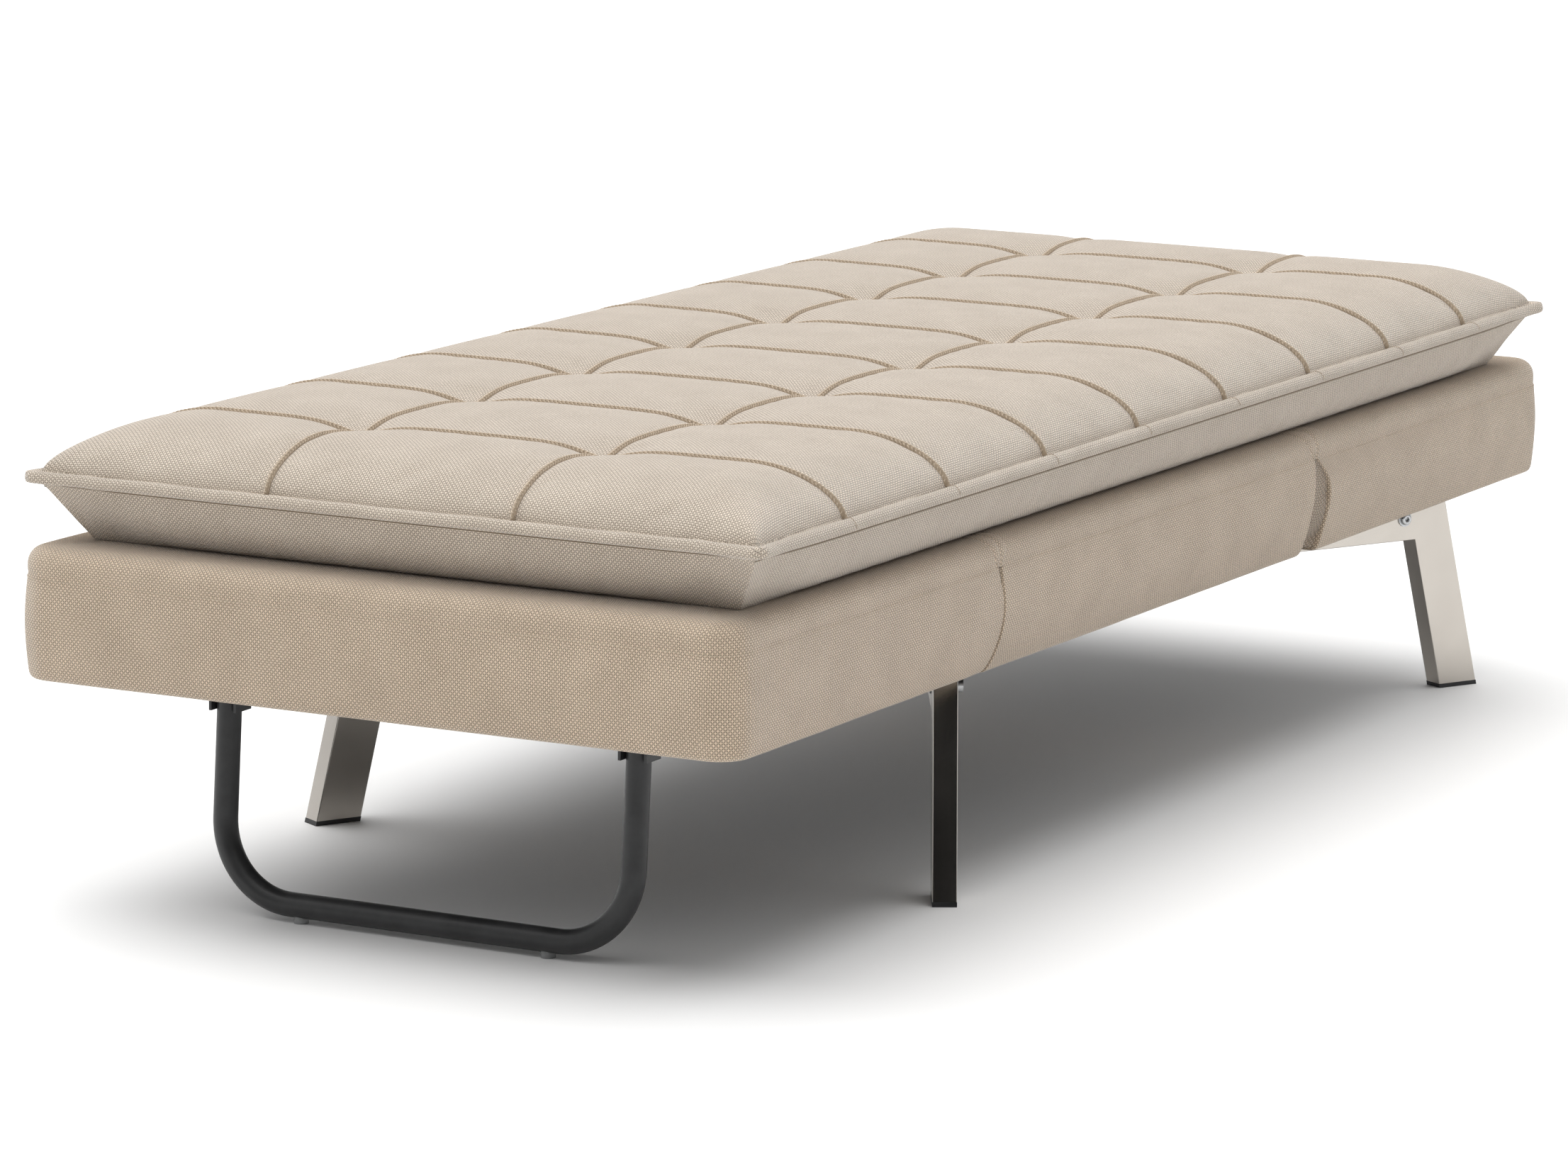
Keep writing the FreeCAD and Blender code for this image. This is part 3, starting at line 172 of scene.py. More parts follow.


# gap is the colour of the painted shade between and under the yarns
def wovenFinish(name, light, dark, gap, look=weaveLook):
    f = newFinish(name, rough=0.92, sheen=0.50, sheenRough=0.36, specular=0.15)
    dress(f, sheenTint=look["sheenTint"])
    cloth = clothPlace(f)
    drift = f.noise(cloth, look["driftScale"], 2.0).out("Color")
    drift = f.vector("SUBTRACT", drift, (0.5, 0.5, 0.5))
    drift = f.vector("SCALE", drift, look["wander"] * 2, "Scale")
    across = f.add("ShaderNodeSeparateXYZ", {}, {0: f.vector("ADD", cloth, drift)})
    along = across.out(1)
    warpWave = f.sum("SINE", across * (math.pi / look["pitch"]))
    weftWave = f.sum("SINE", along * (math.pi / look["pitch"]))
    parity = warpWave * weftWave
    warp = abs(warpWave) * (0.5 + 0.5 * parity)  # lengthwise yarns, over on even crossings
    weft = abs(weftWave) * (0.5 - 0.5 * parity)  # crosswise yarns, over on the others
    height = f.sum("MAXIMUM", warp, weft)
    fleck = f.noise(cloth, look["fleckScale"], 3.0, 0.65)
    patches = f.noise(cloth, look["patchScale"], 3.0, 0.55)
    tone = f.span(fleck * look["fleckShare"] + patches * (1 - look["fleckShare"]), *look["toneRange"])
    yarn = f.mix(tone, dark, light)
    yarn = f.mix(f.span(parity, -0.3, 0.3, 0.0, look["paler"]), yarn, light)  # lengthwise yarns a little paler
    yarn = f.mix(f.span(parity, -0.9, 0.0, look["sunk"], 0.0), yarn, gap)  # crosswise yarns lie deeper, painted in shade towards the gap colour
    # painted shade: the gaps between the yarns are darkened towards the gap colour
    hollow = f.span(height, *look["gapRange"], 1.0, 0.0)
    dress(f, colour=f.mix(hollow * look["gapShade"], yarn, gap))
    fuzz = f.noise(cloth, look["fuzzScale"], 2.0)
    dress(f, normal=f.relief(height + fuzz * look["fuzz"], look["relief"], 0.9))
    return f.material


threadLook = {"worn": 0.74, "toneScale": 420.0, "plyScale": 520.0, "plyWander": 1.5, "relief": 0.0002}


def threadFinish(name, colour, look=threadLook):
    f = newFinish(name, rough=0.8, sheen=0.15, specular=0.2)
    place = objectPlace(f)
    tone = f.noise(place, look["toneScale"], 3.0)
    dress(f, colour=f.mix(f.span(tone, 0.3, 0.7), tuple(c * look["worn"] for c in colour), colour))
    ply = f.add("ShaderNodeTexWave", {"bands_direction": "DIAGONAL"},
                {"Vector": place, "Scale": look["plyScale"], "Distortion": look["plyWander"]})
    dress(f, normal=f.relief(ply, look["relief"], 0.6))
    return f.material


nickelLook = {"brushed": (14.0, 2600.0, 1.0), "cloudScale": 9.0, "rough": (0.13, 0.22), "relief": 0.00001,
              "colours": ((0.49, 0.455, 0.415), (0.55, 0.515, 0.47))}


def nickelFinish(name, look=nickelLook):
    f = newFinish(name, metal=1.0, specular=0.5)
    cloth = clothPlace(f)
    grain = f.noise(f.stretch(cloth, look["brushed"]), 1.0, 3.0, 0.6)
    cloud = f.noise(cloth, look["cloudScale"], 3.0)
    tone = f.span(grain * 0.25 + cloud * 0.75, 0.35, 0.65)
    dress(f, colour=f.mix(tone, *look["colours"]))
    dress(f, rough=f.span(grain * 0.5 + cloud * 0.5, 0.3, 0.7, *look["rough"]))
    dress(f, normal=f.relief(grain, look["relief"], 0.4))
    return f.material


# Blotches between two colours, roughness that follows them, and a fine grain in relief
def grainFinish(name, look):
    f = newFinish(name, **look["shader"])
    place = objectPlace(f)
    blotch = f.noise(place, *look["blotch"])
    dress(f, colour=f.mix(f.span(blotch, *look["range"]), *look["colours"]))
    if "rough" in look:
        dress(f, rough=f.span(blotch, 0.3, 0.7, *look["rough"]))
    scale, detail, depth, strength = look["grain"]
    dress(f, normal=f.relief(f.noise(place, scale, detail), depth, strength))
    return f.material


powderLook = {"shader": {"specular": 0.42}, "blotch": (24.0, 4.0, 0.6), "range": (0.4, 0.75), "rough": (0.36, 0.47),
              "colours": ((0.027, 0.0272, 0.028), (0.0459, 0.04624, 0.0476)), "grain": (900.0, 2.0, 0.00012, 0.35)}
zincLook = {"shader": {"metal": 1.0}, "blotch": (160.0, 4.0, 0.6), "range": (0.35, 0.68), "rough": (0.22, 0.42),
            "colours": ((0.42, 0.43, 0.44), (0.63, 0.64, 0.65)), "grain": (1400.0, 2.0, 0.00004, 0.4)}
hingeLook = {**zincLook, "colours": ((0.30, 0.30, 0.29), (0.50, 0.50, 0.48))}
floorLook = {"shader": {"rough": 0.62, "specular": 0.25}, "blotch": (0.7, 4.0, 0.55), "range": (0.35, 0.65),
             "colours": ((0.885, 0.882, 0.876), (0.895, 0.892, 0.886)), "grain": (180.0, 3.0, 0.0004, 0.08)}


def mouldedLook(colour, rough, grainScale=1100.0, **shader):
    scuffed = tuple(min(1, c * 1.5 + 0.006) for c in colour)
    return {"shader": shader, "blotch": (45.0, 4.0, 0.65), "range": (0.45, 0.8), "rough": (rough - 0.07, rough + 0.1),
            "colours": (colour, scuffed), "grain": (grainScale, 2.0, 0.00006, 0.5)}


woodLook = {"grain": (9.0, 9.0, 70.0), "rings": (0.6, 0.6, 1.0), "ringScale": 26.0, "ringWander": 5.0,
            "relief": 0.0003, "colours": ((0.40, 0.26, 0.13), (0.66, 0.49, 0.30))}


def woodFinish(name, look=woodLook):
    f = newFinish(name, rough=0.66, specular=0.3)
    place = objectPlace(f)
    grain = f.noise(f.stretch(place, look["grain"]), 3.0, 4.0, 0.6)
    rings = f.add("ShaderNodeTexWave", {"bands_direction": "Z"},
                  {"Vector": f.stretch(place, look["rings"]), "Scale": look["ringScale"],
                   "Distortion": look["ringWander"], "Detail": 3.0})
    tone = f.span(grain * 0.5 + rings * 0.5, 0.25, 0.75)
    dress(f, colour=f.mix(tone, *look["colours"]))
    dress(f, normal=f.relief(grain, look["relief"], 0.4))
    return f.material


spunbondLook = {"dimple": 1800.0, "fibreScale": 700.0, "relief": 0.0002,
                "colours": ((0.012, 0.012, 0.013), (0.035, 0.035, 0.037))}


def spunbondFinish(name, look=spunbondLook):
    f = newFinish(name, rough=0.9, specular=0.15)
    cloth = clothPlace(f)
    parts = f.add("ShaderNodeSeparateXYZ", {}, {0: cloth})
    dimple = abs(f.sum("SINE", parts * look["dimple"])) * abs(f.sum("SINE", parts.out(1) * look["dimple"]))
    fibre = f.noise(cloth, look["fibreScale"], 4.0, 0.7)
    dress(f, colour=f.mix(f.span(fibre + dimple * 0.3, 0.4, 0.9), *look["colours"]))
    dress(f, normal=f.relief(dimple + fibre, look["relief"], 0.6))
    return f.material


finishes = {
    "cover": wovenFinish("cover weave", (0.93, 0.76, 0.59), (0.66, 0.53, 0.40), (0.12, 0.088, 0.058)),
    # painted light: the topper's cloth is the cover cloth made paler, standing for the brighter light on the top
    "topper": wovenFinish("topper weave painted lighter", (0.95, 0.83, 0.70), (0.73, 0.625, 0.515), (0.13, 0.098, 0.07)),
    # painted shade: the pleat cloth is the cover cloth made darker, standing for the shade inside the folds
    "pleat": wovenFinish("pleat weave painted in shade", (0.60, 0.47, 0.34), (0.42, 0.32, 0.225), (0.07, 0.048, 0.03), pleatLook),
    "thread": threadFinish("seam thread", (0.70, 0.58, 0.45)),
    # painted shade: the cord is turned-in topper cloth, coloured darker for the shade along the seam
    "cord": threadFinish("seam cord painted in shade", (0.50, 0.40, 0.295)),
    "hem": threadFinish("hem thread", (0.62, 0.51, 0.395)),
    # painted shadow: the flange's seam is coloured near black, standing for the shade under the flange
    "edge": threadFinish("painted shadow seam", (0.25, 0.195, 0.135)),
    "nickel": nickelFinish("satin nickel"),
    "powder": grainFinish("black powder coat", powderLook),
    "zinc": grainFinish("bright zinc", zincLook),
    "hinge": grainFinish("pressed hinge steel", hingeLook),
    "cap": grainFinish("black cap plastic", mouldedLook((0.014, 0.014, 0.015), 0.42)),
    "glide": grainFinish("clear glide plastic", mouldedLook((0.55, 0.56, 0.56), 0.2, through=0.6, ior=1.46)),
    "block": grainFinish("connector plastic", mouldedLook((0.05, 0.05, 0.052), 0.5)),
    "rubber": grainFinish("bumper rubber", mouldedLook((0.022, 0.022, 0.021), 0.72, 700.0)),
    "wood": woodFinish("sawn softwood"),
    "dust": spunbondFinish("dust cloth"),
}
stage("finishes")


# Camera at the photograph's viewpoint
viewpoint = {"place": (3.44178, -6.49065, 1.57745), "turn": 28.45, "drop": 10.53, "roll": 0.51,
             "lens": 157.785, "sensor": 36.0}


def addCamera(v):
    turn, drop, roll = (math.radians(v[key]) for key in ("turn", "drop", "roll"))
    ahead = Vector((-math.sin(turn) * math.cos(drop), math.cos(turn) * math.cos(drop), -math.sin(drop)))
    level = Vector((math.cos(turn), math.sin(turn), 0))
    upright = level.cross(ahead)
    right = level * math.cos(roll) + upright * math.sin(roll)
    up = upright * math.cos(roll) - level * math.sin(roll)
    data = bpy.data.cameras.new("camera")
    data.lens, data.sensor_width, data.clip_end = v["lens"], v["sensor"], 200
    camera = bpy.data.objects.new("camera", data)
    camera.matrix_world = Matrix.Translation(v["place"]) @ Matrix((right, up, -ahead)).transposed().to_4x4()
    scene.collection.objects.link(camera)
    scene.camera = camera


# Even light from all round, a broad soft sun overhead, a pale floor, and a dim room behind the camera
studio = {
    "floorHalf": 60.0,
    "room": (0.975, 0.98, 0.985), "roomPower": 0.80, "rightShade": 0.32,
    "dim": (0.012, 0.012, 0.0125), "dimSide": (0.47, -0.88), "dimReach": (0.3, 0.75), "dimHeight": (0.42, 0.62),
    "rightReach": (0.1, 0.9),
    "sun": {"from": (-0.20, 0.10, 1.0), "power": 2.90, "spread": 78.0},
}


def addStudio(s):
    half = s["floorHalf"]
    mesh = bpy.data.meshes.new("floor")
    mesh.from_pydata([(-half, -half, 0), (half, -half, 0), (half, half, 0), (-half, half, 0)], [], [(0, 1, 2, 3)])
    floor = bpy.data.objects.new("floor", mesh)
    scene.collection.objects.link(floor)
    mesh.materials.append(grainFinish("pale floor", floorLook))
    light = bpy.data.lights.new("soft sun", "SUN")
    light.energy, light.angle = s["sun"]["power"], math.radians(s["sun"]["spread"])
    lamp = bpy.data.objects.new("soft sun", light)
    lamp.rotation_euler = (-Vector(s["sun"]["from"])).to_track_quat("-Z", "Y").to_euler()
    scene.collection.objects.link(lamp)
    world = bpy.data.worlds.new("studio")
    scene.world = world
    world.use_nodes = True
    f = Finish(world.node_tree)
    f.tree.nodes.clear()
    way = f.add("ShaderNodeTexCoord", {}, {}).out("Generated")
    parts = f.add("ShaderNodeSeparateXYZ", {}, {0: way})
    towards = parts * s["dimSide"][0] + parts.out(1) * s["dimSide"][1]
    low = f.span(parts.out(2), *s["dimHeight"], 1.0, 0.0)
    dim = f.span(towards, *s["dimReach"]) * low
    right = f.span(parts, *s["rightReach"]) * s["rightShade"]
    colour = f.mix(dim, f.mix(right, s["room"], s["dim"]), s["dim"])
    glow = f.add("ShaderNodeBackground", {}, {"Color": colour, "Strength": s["roomPower"]})
    f.add("ShaderNodeOutputWorld", {}, {"Surface": glow})
    scene.view_settings.view_transform = "Standard"
    scene.view_settings.look = "None"
    scene.view_settings.exposure = 0.0


addCamera(viewpoint)
addStudio(studio)
stage("camera and studio")


# Grid patches of cloth, welded into one piece; each patch has its own cloth coordinates
class Patchwork:
    def __init__(self):
        self.points, self.faces, self.coords, self.count = [], [], [], 0

    def patch(self, points, coords=None):
        if coords is None:
            coords = np.stack([gridRun(points, 1), gridRun(points, 0)], -1)
        self.keep(points.reshape(-1, 3), gridFaces(points, self.count), coords.reshape(-1, 2))

    def ring(self, points):  # one flat face round a loop of points
        self.keep(points, [list(range(self.count, self.count + len(points)))], points[:, :2])

    def keep(self, points, faces, coords):
        self.points.append(points)
        self.faces += faces
        self.coords.append(coords)
        self.count += len(points)

    def build(self, name, finish, weld=1e-5):
        mesh = bpy.data.meshes.new(name)
        mesh.from_pydata(np.concatenate(self.points).tolist(), [], self.faces)
        corner = np.empty(len(mesh.loops), np.int32)
        mesh.loops.foreach_get("vertex_index", corner)
        layer = mesh.uv_layers.new(name="cloth")
        layer.data.foreach_set("uv", np.concatenate(self.coords)[corner].astype(np.float32).ravel())
        form = bmesh.new()
        form.from_mesh(mesh)
        bmesh.ops.remove_doubles(form, verts=form.verts, dist=weld)
        bmesh.ops.recalc_face_normals(form, faces=form.faces)
        for face in form.faces:
            face.smooth = True
        form.to_mesh(mesh)
        form.free()
        mesh.materials.append(finish)
        piece = bpy.data.objects.new(name, mesh)
        scene.collection.objects.link(piece)
        return piece


def clothPiece(points, name, finish, weld=1e-5):  # one grid of cloth as a piece of its own
    work = Patchwork()
    work.patch(points)
    return work.build(name, finish, weld)


def gridFaces(points, start=0):
    index = np.arange(points.shape[0] * points.shape[1]).reshape(points.shape[:2]) + start
    return np.stack([index[:-1, :-1], index[:-1, 1:], index[1:, 1:], index[1:, :-1]], -1).reshape(-1, 4).tolist()


def gridRun(points, axis):  # distance along the lines of a grid, from its middle
    steps = np.linalg.norm(np.diff(points, axis=axis), axis=2)
    run = np.insert(np.cumsum(steps, axis=axis), 0, 0, axis=axis)
    middle = np.take(run, [points.shape[axis] // 2], axis=axis)
    return run - middle


def smoothed(piece):
    smooth = piece.modifiers.new("smooth", "SUBSURF")
    smooth.levels = smooth.render_levels = 1
    return piece


def subdivided(piece):  # one level of smoothing, made real
    smoothed(piece)
    graph = bpy.context.evaluated_depsgraph_get()
    mesh = bpy.data.meshes.new_from_object(piece.evaluated_get(graph), depsgraph=graph)
    piece.modifiers.clear()
    piece.data = mesh
    return piece


def capped(piece, corners=None):  # flat faces over the open rims, creased there
    form = bmesh.new()
    form.from_mesh(piece.data)
    cloth = form.loops.layers.uv["cloth"]
    rim = dict.fromkeys(edge for edge in form.edges if edge.is_boundary)  # ordered, so that every run is the same
    loops = []
    while rim:
        edge = rim.popitem()[0]
        loop, ahead = [edge.verts[0]], edge.verts[1]
        while ahead is not loop[0]:
            loop.append(ahead)
            edge = next(e for e in ahead.link_edges if e in rim)
            del rim[edge]
            ahead = edge.other_vert(ahead)
        loops.append(loop)
    if corners is not None:  # one rim that turns two corners: an underside and a cut
        loop = loops[0]
        first, last = sorted(min(range(len(loop)), key=lambda k: (loop[k].co - Vector(c)).length) for c in corners)
        loops = [loop[first:last + 1], loop[last:] + loop[:first + 1]]
    for loop in loops:
        face = form.faces.new(loop)
        for corner in face.loops:
            corner[cloth].uv = corner.vert.co.xy
            corner.edge.smooth = False
    bmesh.ops.recalc_face_normals(form, faces=form.faces)
    form.to_mesh(piece.data)
    form.free()
    return piece


def eased(start, end, count, crowd=0.0):  # steps that crowd towards both ends
    t = np.linspace(0, 1, count + 1)
    return start + (end - start) * (t - crowd * np.sin(2 * np.pi * t) / (2 * np.pi))


def waver(p, q, seed=0.0):  # smooth unevenness between about -1 and 1
    return (np.sin(31 * p + 17 * q + 1.3 + seed) + 0.7 * np.sin(53 * p - 41 * q + 0.7 + 2 * seed)
            + 0.5 * np.sin(97 * p + 83 * q + 2.1 + 3 * seed)) / 2.2


# Places, headings and uprights along a line
def runFrames(path, places, side, reach):
    run = np.insert(np.cumsum(np.linalg.norm(np.diff(path, axis=0), axis=1)), 0, 0)

    def at(spots):
        return np.stack([np.interp(spots, run, path[:, k]) for k in range(3)], -1)

    def unit(vectors):
        return vectors / (np.linalg.norm(vectors, axis=1, keepdims=True) + 1e-12)
    way = unit(at(places + reach) - at(places - reach))
    across = unit(np.cross(np.array(side, float), way))
    return at(places), way, across, np.cross(way, across)


def pathLength(path):
    return float(np.linalg.norm(np.diff(path, axis=0), axis=1).sum())


# Stitches: flattened capsules laid along a line
def stitchRun(path, lift, pitch, length, width, height, lean=0.0, side=(0, 0, 1)):
    places = np.arange(pitch / 2, pathLength(path), pitch)
    middle, way, across, up = runFrames(path, places, side, pitch / 3)
    turned = way * math.cos(lean) + across * math.sin(lean)
    beside = across * math.cos(lean) - way * math.sin(lean)
    rings, sides = [(-0.5, 0.3), (-0.25, 0.9), (0.25, 0.9), (0.5, 0.3)], 5
    turns = 2 * np.pi * np.arange(sides) / sides
    form = np.array([(along * length, math.cos(turn) * width / 2 * share,
                      math.sin(turn) * height / 2 * share + lift) for along, share in rings for turn in turns])
    points = (middle[:, None] + turned[:, None] * form[None, :, :1] + beside[:, None] * form[None, :, 1:2]
              + up[:, None] * form[None, :, 2:])
    skin = [(r * sides + k, r * sides + (k + 1) % sides, (r + 1) * sides + (k + 1) % sides, (r + 1) * sides + k)
            for r in range(len(rings) - 1) for k in range(sides)]
    skin += [tuple(reversed(range(sides))), tuple(range((len(rings) - 1) * sides, len(rings) * sides))]
    faces = [tuple(k + n * len(form) for k in face) for n in range(len(places)) for face in skin]
    return points.reshape(-1, 3), faces


# Raised cord of turned-in cloth along a seam
def cordRun(path, width, height, side=(0, 0, 1)):
    step, sunk = 0.0035, 0.0014
    places = np.linspace(0, pathLength(path), max(3, int(pathLength(path) / step)))
    middle, way, across, up = runFrames(path, places, side, 0.003)
    turns = np.linspace(0, np.pi, 9)
    points = (middle[:, None] + across[:, None] * (np.cos(turns) * width / 2)[None, :, None]
              + up[:, None] * (np.sin(turns) * (height + sunk) - sunk)[None, :, None])
    return points.reshape(-1, 3), gridFaces(points)


def stitchPiece(name, runs, finish):
    points, faces = [], []
    for runPoints, runFaces in runs:
        faces += [tuple(k + len(points) for k in face) for face in runFaces]
        points += [tuple(p) for p in runPoints]
    mesh = bpy.data.meshes.new(name)
    mesh.from_pydata(points, [], faces)
    mesh.shade_smooth()
    mesh.materials.append(finish)
    piece = bpy.data.objects.new(name, mesh)
    scene.collection.objects.link(piece)
    return piece


# Fold lines between the sections
foldHeight, foldDepth = 0.342, 0.104
folds = {
    "foot": {"axis": -0.4355, "height": foldHeight, "gap": 0.003, "slope": math.tan(math.radians(23)), "reach": 0.105,
             "bow": 0.040, "kick": 0.031, "close": 0.0027, "closedBy": 0.15},
    "back": {"axis": 0.3345, "height": foldHeight, "gap": 0.003, "slope": math.tan(math.radians(38)), "reach": 0.158,
             "lean": 0.036, "lipAt": (0, 0.06, 0.14, 0.24, 0.36, 0.5, 0.65, 0.82, 1),
             "lip": (0, 0.009, 0.021, 0.031, 0.034, 0.031, 0.024, 0.014, 0.005)},
}


def belowAxis(z):
    return np.clip((foldHeight - z) / foldDepth, 0, 1)


def notchHalf(fold, z):
    return fold["gap"] + np.clip(z - fold["height"], 0, 1) * fold["slope"]


def footFold(z):  # the closed fold bows back, then kicks forward at the hem
    fold, k = folds["foot"], belowAxis(z)
    return fold["axis"] + fold["bow"] * k * (1 - k) - fold["kick"] * k ** 3.5


def footGap(z):  # half the gap, nearly closed below the axis
    fold = folds["foot"]
    return notchHalf(fold, z) - fold["close"] * np.clip(belowAxis(z) / fold["closedBy"], 0, 1)


def footFace(z):
    return footFold(z) - footGap(z)


def seatFront(z):
    return footFold(z) + footGap(z)


def seatRear(z):
    fold = folds["back"]
    return fold["axis"] - notchHalf(fold, z) - fold["lean"] * belowAxis(z) ** 2.2


def backFace(z):  # the open pleat's rear lip
    fold = folds["back"]
    return fold["axis"] + notchHalf(fold, z) + np.interp(belowAxis(z), fold["lipAt"], fold["lip"])


# Quilted topper: three columns and nine rows of puffs inside a flanged edge
topper = {
    "halfWidth": 0.416, "near": -0.9615, "far": 0.9435, "shift": 0.006,
    "lip": 0.0125, "lipThick": 0.0105, "weltHeight": 0.4375,
    "bottom": 0.3727, "contact": 0.050, "belly": 0.75, "wallInset": 0.0008, "cornerReach": 0.085,
    "pucker": 0.0009, "puckerReach": 0.01,
    "crown": 0.4915, "dome": 0.108, "domePower": 2.2, "domeRoot": 0.62,
    "seamDrop": 0.0024, "tuftDrop": 0.0125, "tuftReach": 0.034, "valley": 0.050,
    "columns": (-0.139, 0.139), "firstSeam": -0.7765, "seamPitch": 0.215, "seams": 8, "splitSeam": 3,
    "columnSteps": (44, 46, 44), "firstSteps": 30, "rowSteps": 36, "lastSteps": 34, "crowd": 0.58,
    "groove": 0.0018, "grooveWidth": 0.0055, "grooveFade": 0.03, "grooveLeast": 0.25,
    "moveCap": 0.006, "frames": 20,
    "ear": {"reach": 0.027, "push": 0.0050, "lift": 0.0010}, "blunt": {"reach": 0.0085, "push": 0.0055},
    "wave": 0.0010, "ripple": 0.0005, "waveSide": 0.02,
    "cord": {"width": 0.0046, "height": 0.0046},
    "stitch": {"pitch": 0.0047, "width": 0.0017, "height": 0.0013},
    "beside": {"length": 0.0046, "lean": 0.75, "out": 0.45, "up": 0.42},
    "over": {"length": 0.0036, "lean": 1.2, "sunk": 0.0003},
    "hem": {"lift": 0.0003, "pitch": 0.0042, "length": 0.0036, "width": 0.0012, "height": 0.0009},
    "join": {"lift": 0.0003, "pitch": 0.0026, "length": 0.0024, "width": 0.0012, "height": 0.0010},
    "joinBeside": 0.012, "joinSlant": (-0.008, 0.004), "joinRows": slice(1, 8),
    "shadowSeam": {"width": 0.0024, "height": 0.0005}, "edgeRow": 10, "edgeDrop": {"end": 0.55, "side": 0.85},
}
swell = {  # cloth settings of the topper's top
    "quality": 4, "mass": 0.25, "tension_stiffness": 22, "compression_stiffness": 22, "shear_stiffness": 8,
    "bending_stiffness": 0.8, "vertex_group_mass": "held", "use_pressure": True, "uniform_pressure_force": 1.5,
    "shrink_min": -0.002,
}


def topperLines(t):
    inner = t["halfWidth"] - t["lip"]
    xs = [-inner, *t["columns"], inner]
    seams = [t["firstSeam"] + t["seamPitch"] * k for k in range(t["seams"])]
    ys = [t["near"] + t["lip"], *seams, t["far"] - t["lip"]]
    columns = np.concatenate([eased(a, b, n, t["crowd"])[:-1] for a, b, n in zip(xs, xs[1:], t["columnSteps"])]
                             + [[inner]])
    counts = [t["firstSteps"]] + [t["rowSteps"]] * (t["seams"] - 1) + [t["lastSteps"]]
    rows = np.concatenate([eased(a, b, n, t["crowd"])[:-1] for a, b, n in zip(ys, ys[1:], counts)] + [[ys[-1]]])
    return xs, ys, columns, rows


def nearest(values, lines):
    return np.min([np.abs(values - line) for line in lines], axis=0)


def topSurface(t, xs, ys, x, y):
    def domed(edge):
        rise = 1 - (1 - np.clip(edge / t["dome"], 0, 1)) ** t["domePower"]
        return np.maximum(rise ** t["domeRoot"], 1e-4)
    acrossRise, alongRise = domed(np.minimum(x - xs[0], xs[-1] - x)), domed(np.minimum(y - ys[0], ys[-1] - y))
    envelope = (acrossRise ** -3 + alongRise ** -3 - 1) ** (-1 / 3)  # full corners
    fromColumn, fromRow = nearest(x, xs[1:-1]), nearest(y, ys[1:-1])
    dipX = np.clip(1 - fromColumn / t["valley"], 0, 1) ** 2
    dipY = np.clip(1 - fromRow / t["valley"], 0, 1) ** 2
    tuft = np.exp(-(np.hypot(fromColumn, fromRow) / t["tuftReach"]) ** 1.5)
    drop = t["seamDrop"] * (1 - (1 - dipX) * (1 - dipY)) + t["tuftDrop"] * tuft
    weltTop = t["weltHeight"] + t["lipThick"] / 2
    return weltTop + envelope * (t["crown"] - weltTop - drop)


def puffed(t, grid, held):  # the pad's top swells between its seams
    piece = clothPiece(grid, "topper puff", finishes["topper"], 1e-7)
    group = piece.vertex_groups.new(name="held")
    group.add(np.flatnonzero(held.ravel()).tolist(), 1.0, "REPLACE")
    cloth = piece.modifiers.new("swell", "CLOTH")
    for key, value in swell.items():
        setattr(cloth.settings, key, value)
    cloth.settings.effector_weights.gravity = 0
    cloth.collision_settings.use_collision = cloth.collision_settings.use_self_collision = False
    cloth.point_cache.frame_start, cloth.point_cache.frame_end = 1, t["frames"]
    for step in range(1, t["frames"] + 1):
        scene.frame_set(step)
    graph = bpy.context.evaluated_depsgraph_get()
    swollen = piece.evaluated_get(graph).to_mesh()
    moved = np.empty(len(swollen.vertices) * 3, np.float32)
    swollen.vertices.foreach_get("co", moved)
    moved = moved.reshape(grid.shape).astype(float) - grid
    size = np.linalg.norm(moved, axis=2, keepdims=True)
    moved *= np.minimum(1, t["moveCap"] / np.maximum(size, 1e-9))
    print(f"topper swells by {size.mean() * 1000:.1f} mm, at most {size.max() * 1000:.1f} mm")
    bpy.data.objects.remove(piece)
    scene.frame_set(1)
    return grid + moved


def edgeShape(t, x, y, inset, z):  # flange unevenness and its little corner ears
    halfLength = (t["far"] - t["near"]) / 2
    middle = (t["far"] + t["near"]) / 2
    out = np.clip(1 - inset / t["lip"], 0, 1)
    cornerX, cornerY = t["halfWidth"] - np.abs(x), halfLength - np.abs(y - middle)
    away = cornerX ** 2 + cornerY ** 2
    ear = np.exp(-(away / t["ear"]["reach"] ** 2)) * np.clip(1.25 - inset / t["lip"], 0, 1)
    blunt = np.exp(-(away / t["blunt"]["reach"] ** 2)) * out
    wave = waver(x, y, 0.4) * t["wave"] + waver(2.6 * x, 2.6 * y, 1.9) * t["ripple"]
    push = ear * t["ear"]["push"] - blunt * t["blunt"]["push"]
    level = z + out * wave + ear * t["ear"]["lift"]
    return (x + np.sign(x) * push + np.sign(x) * (cornerX < t["waveSide"]) * out * wave * 0.5,
            y + np.sign(y - middle) * push, level)


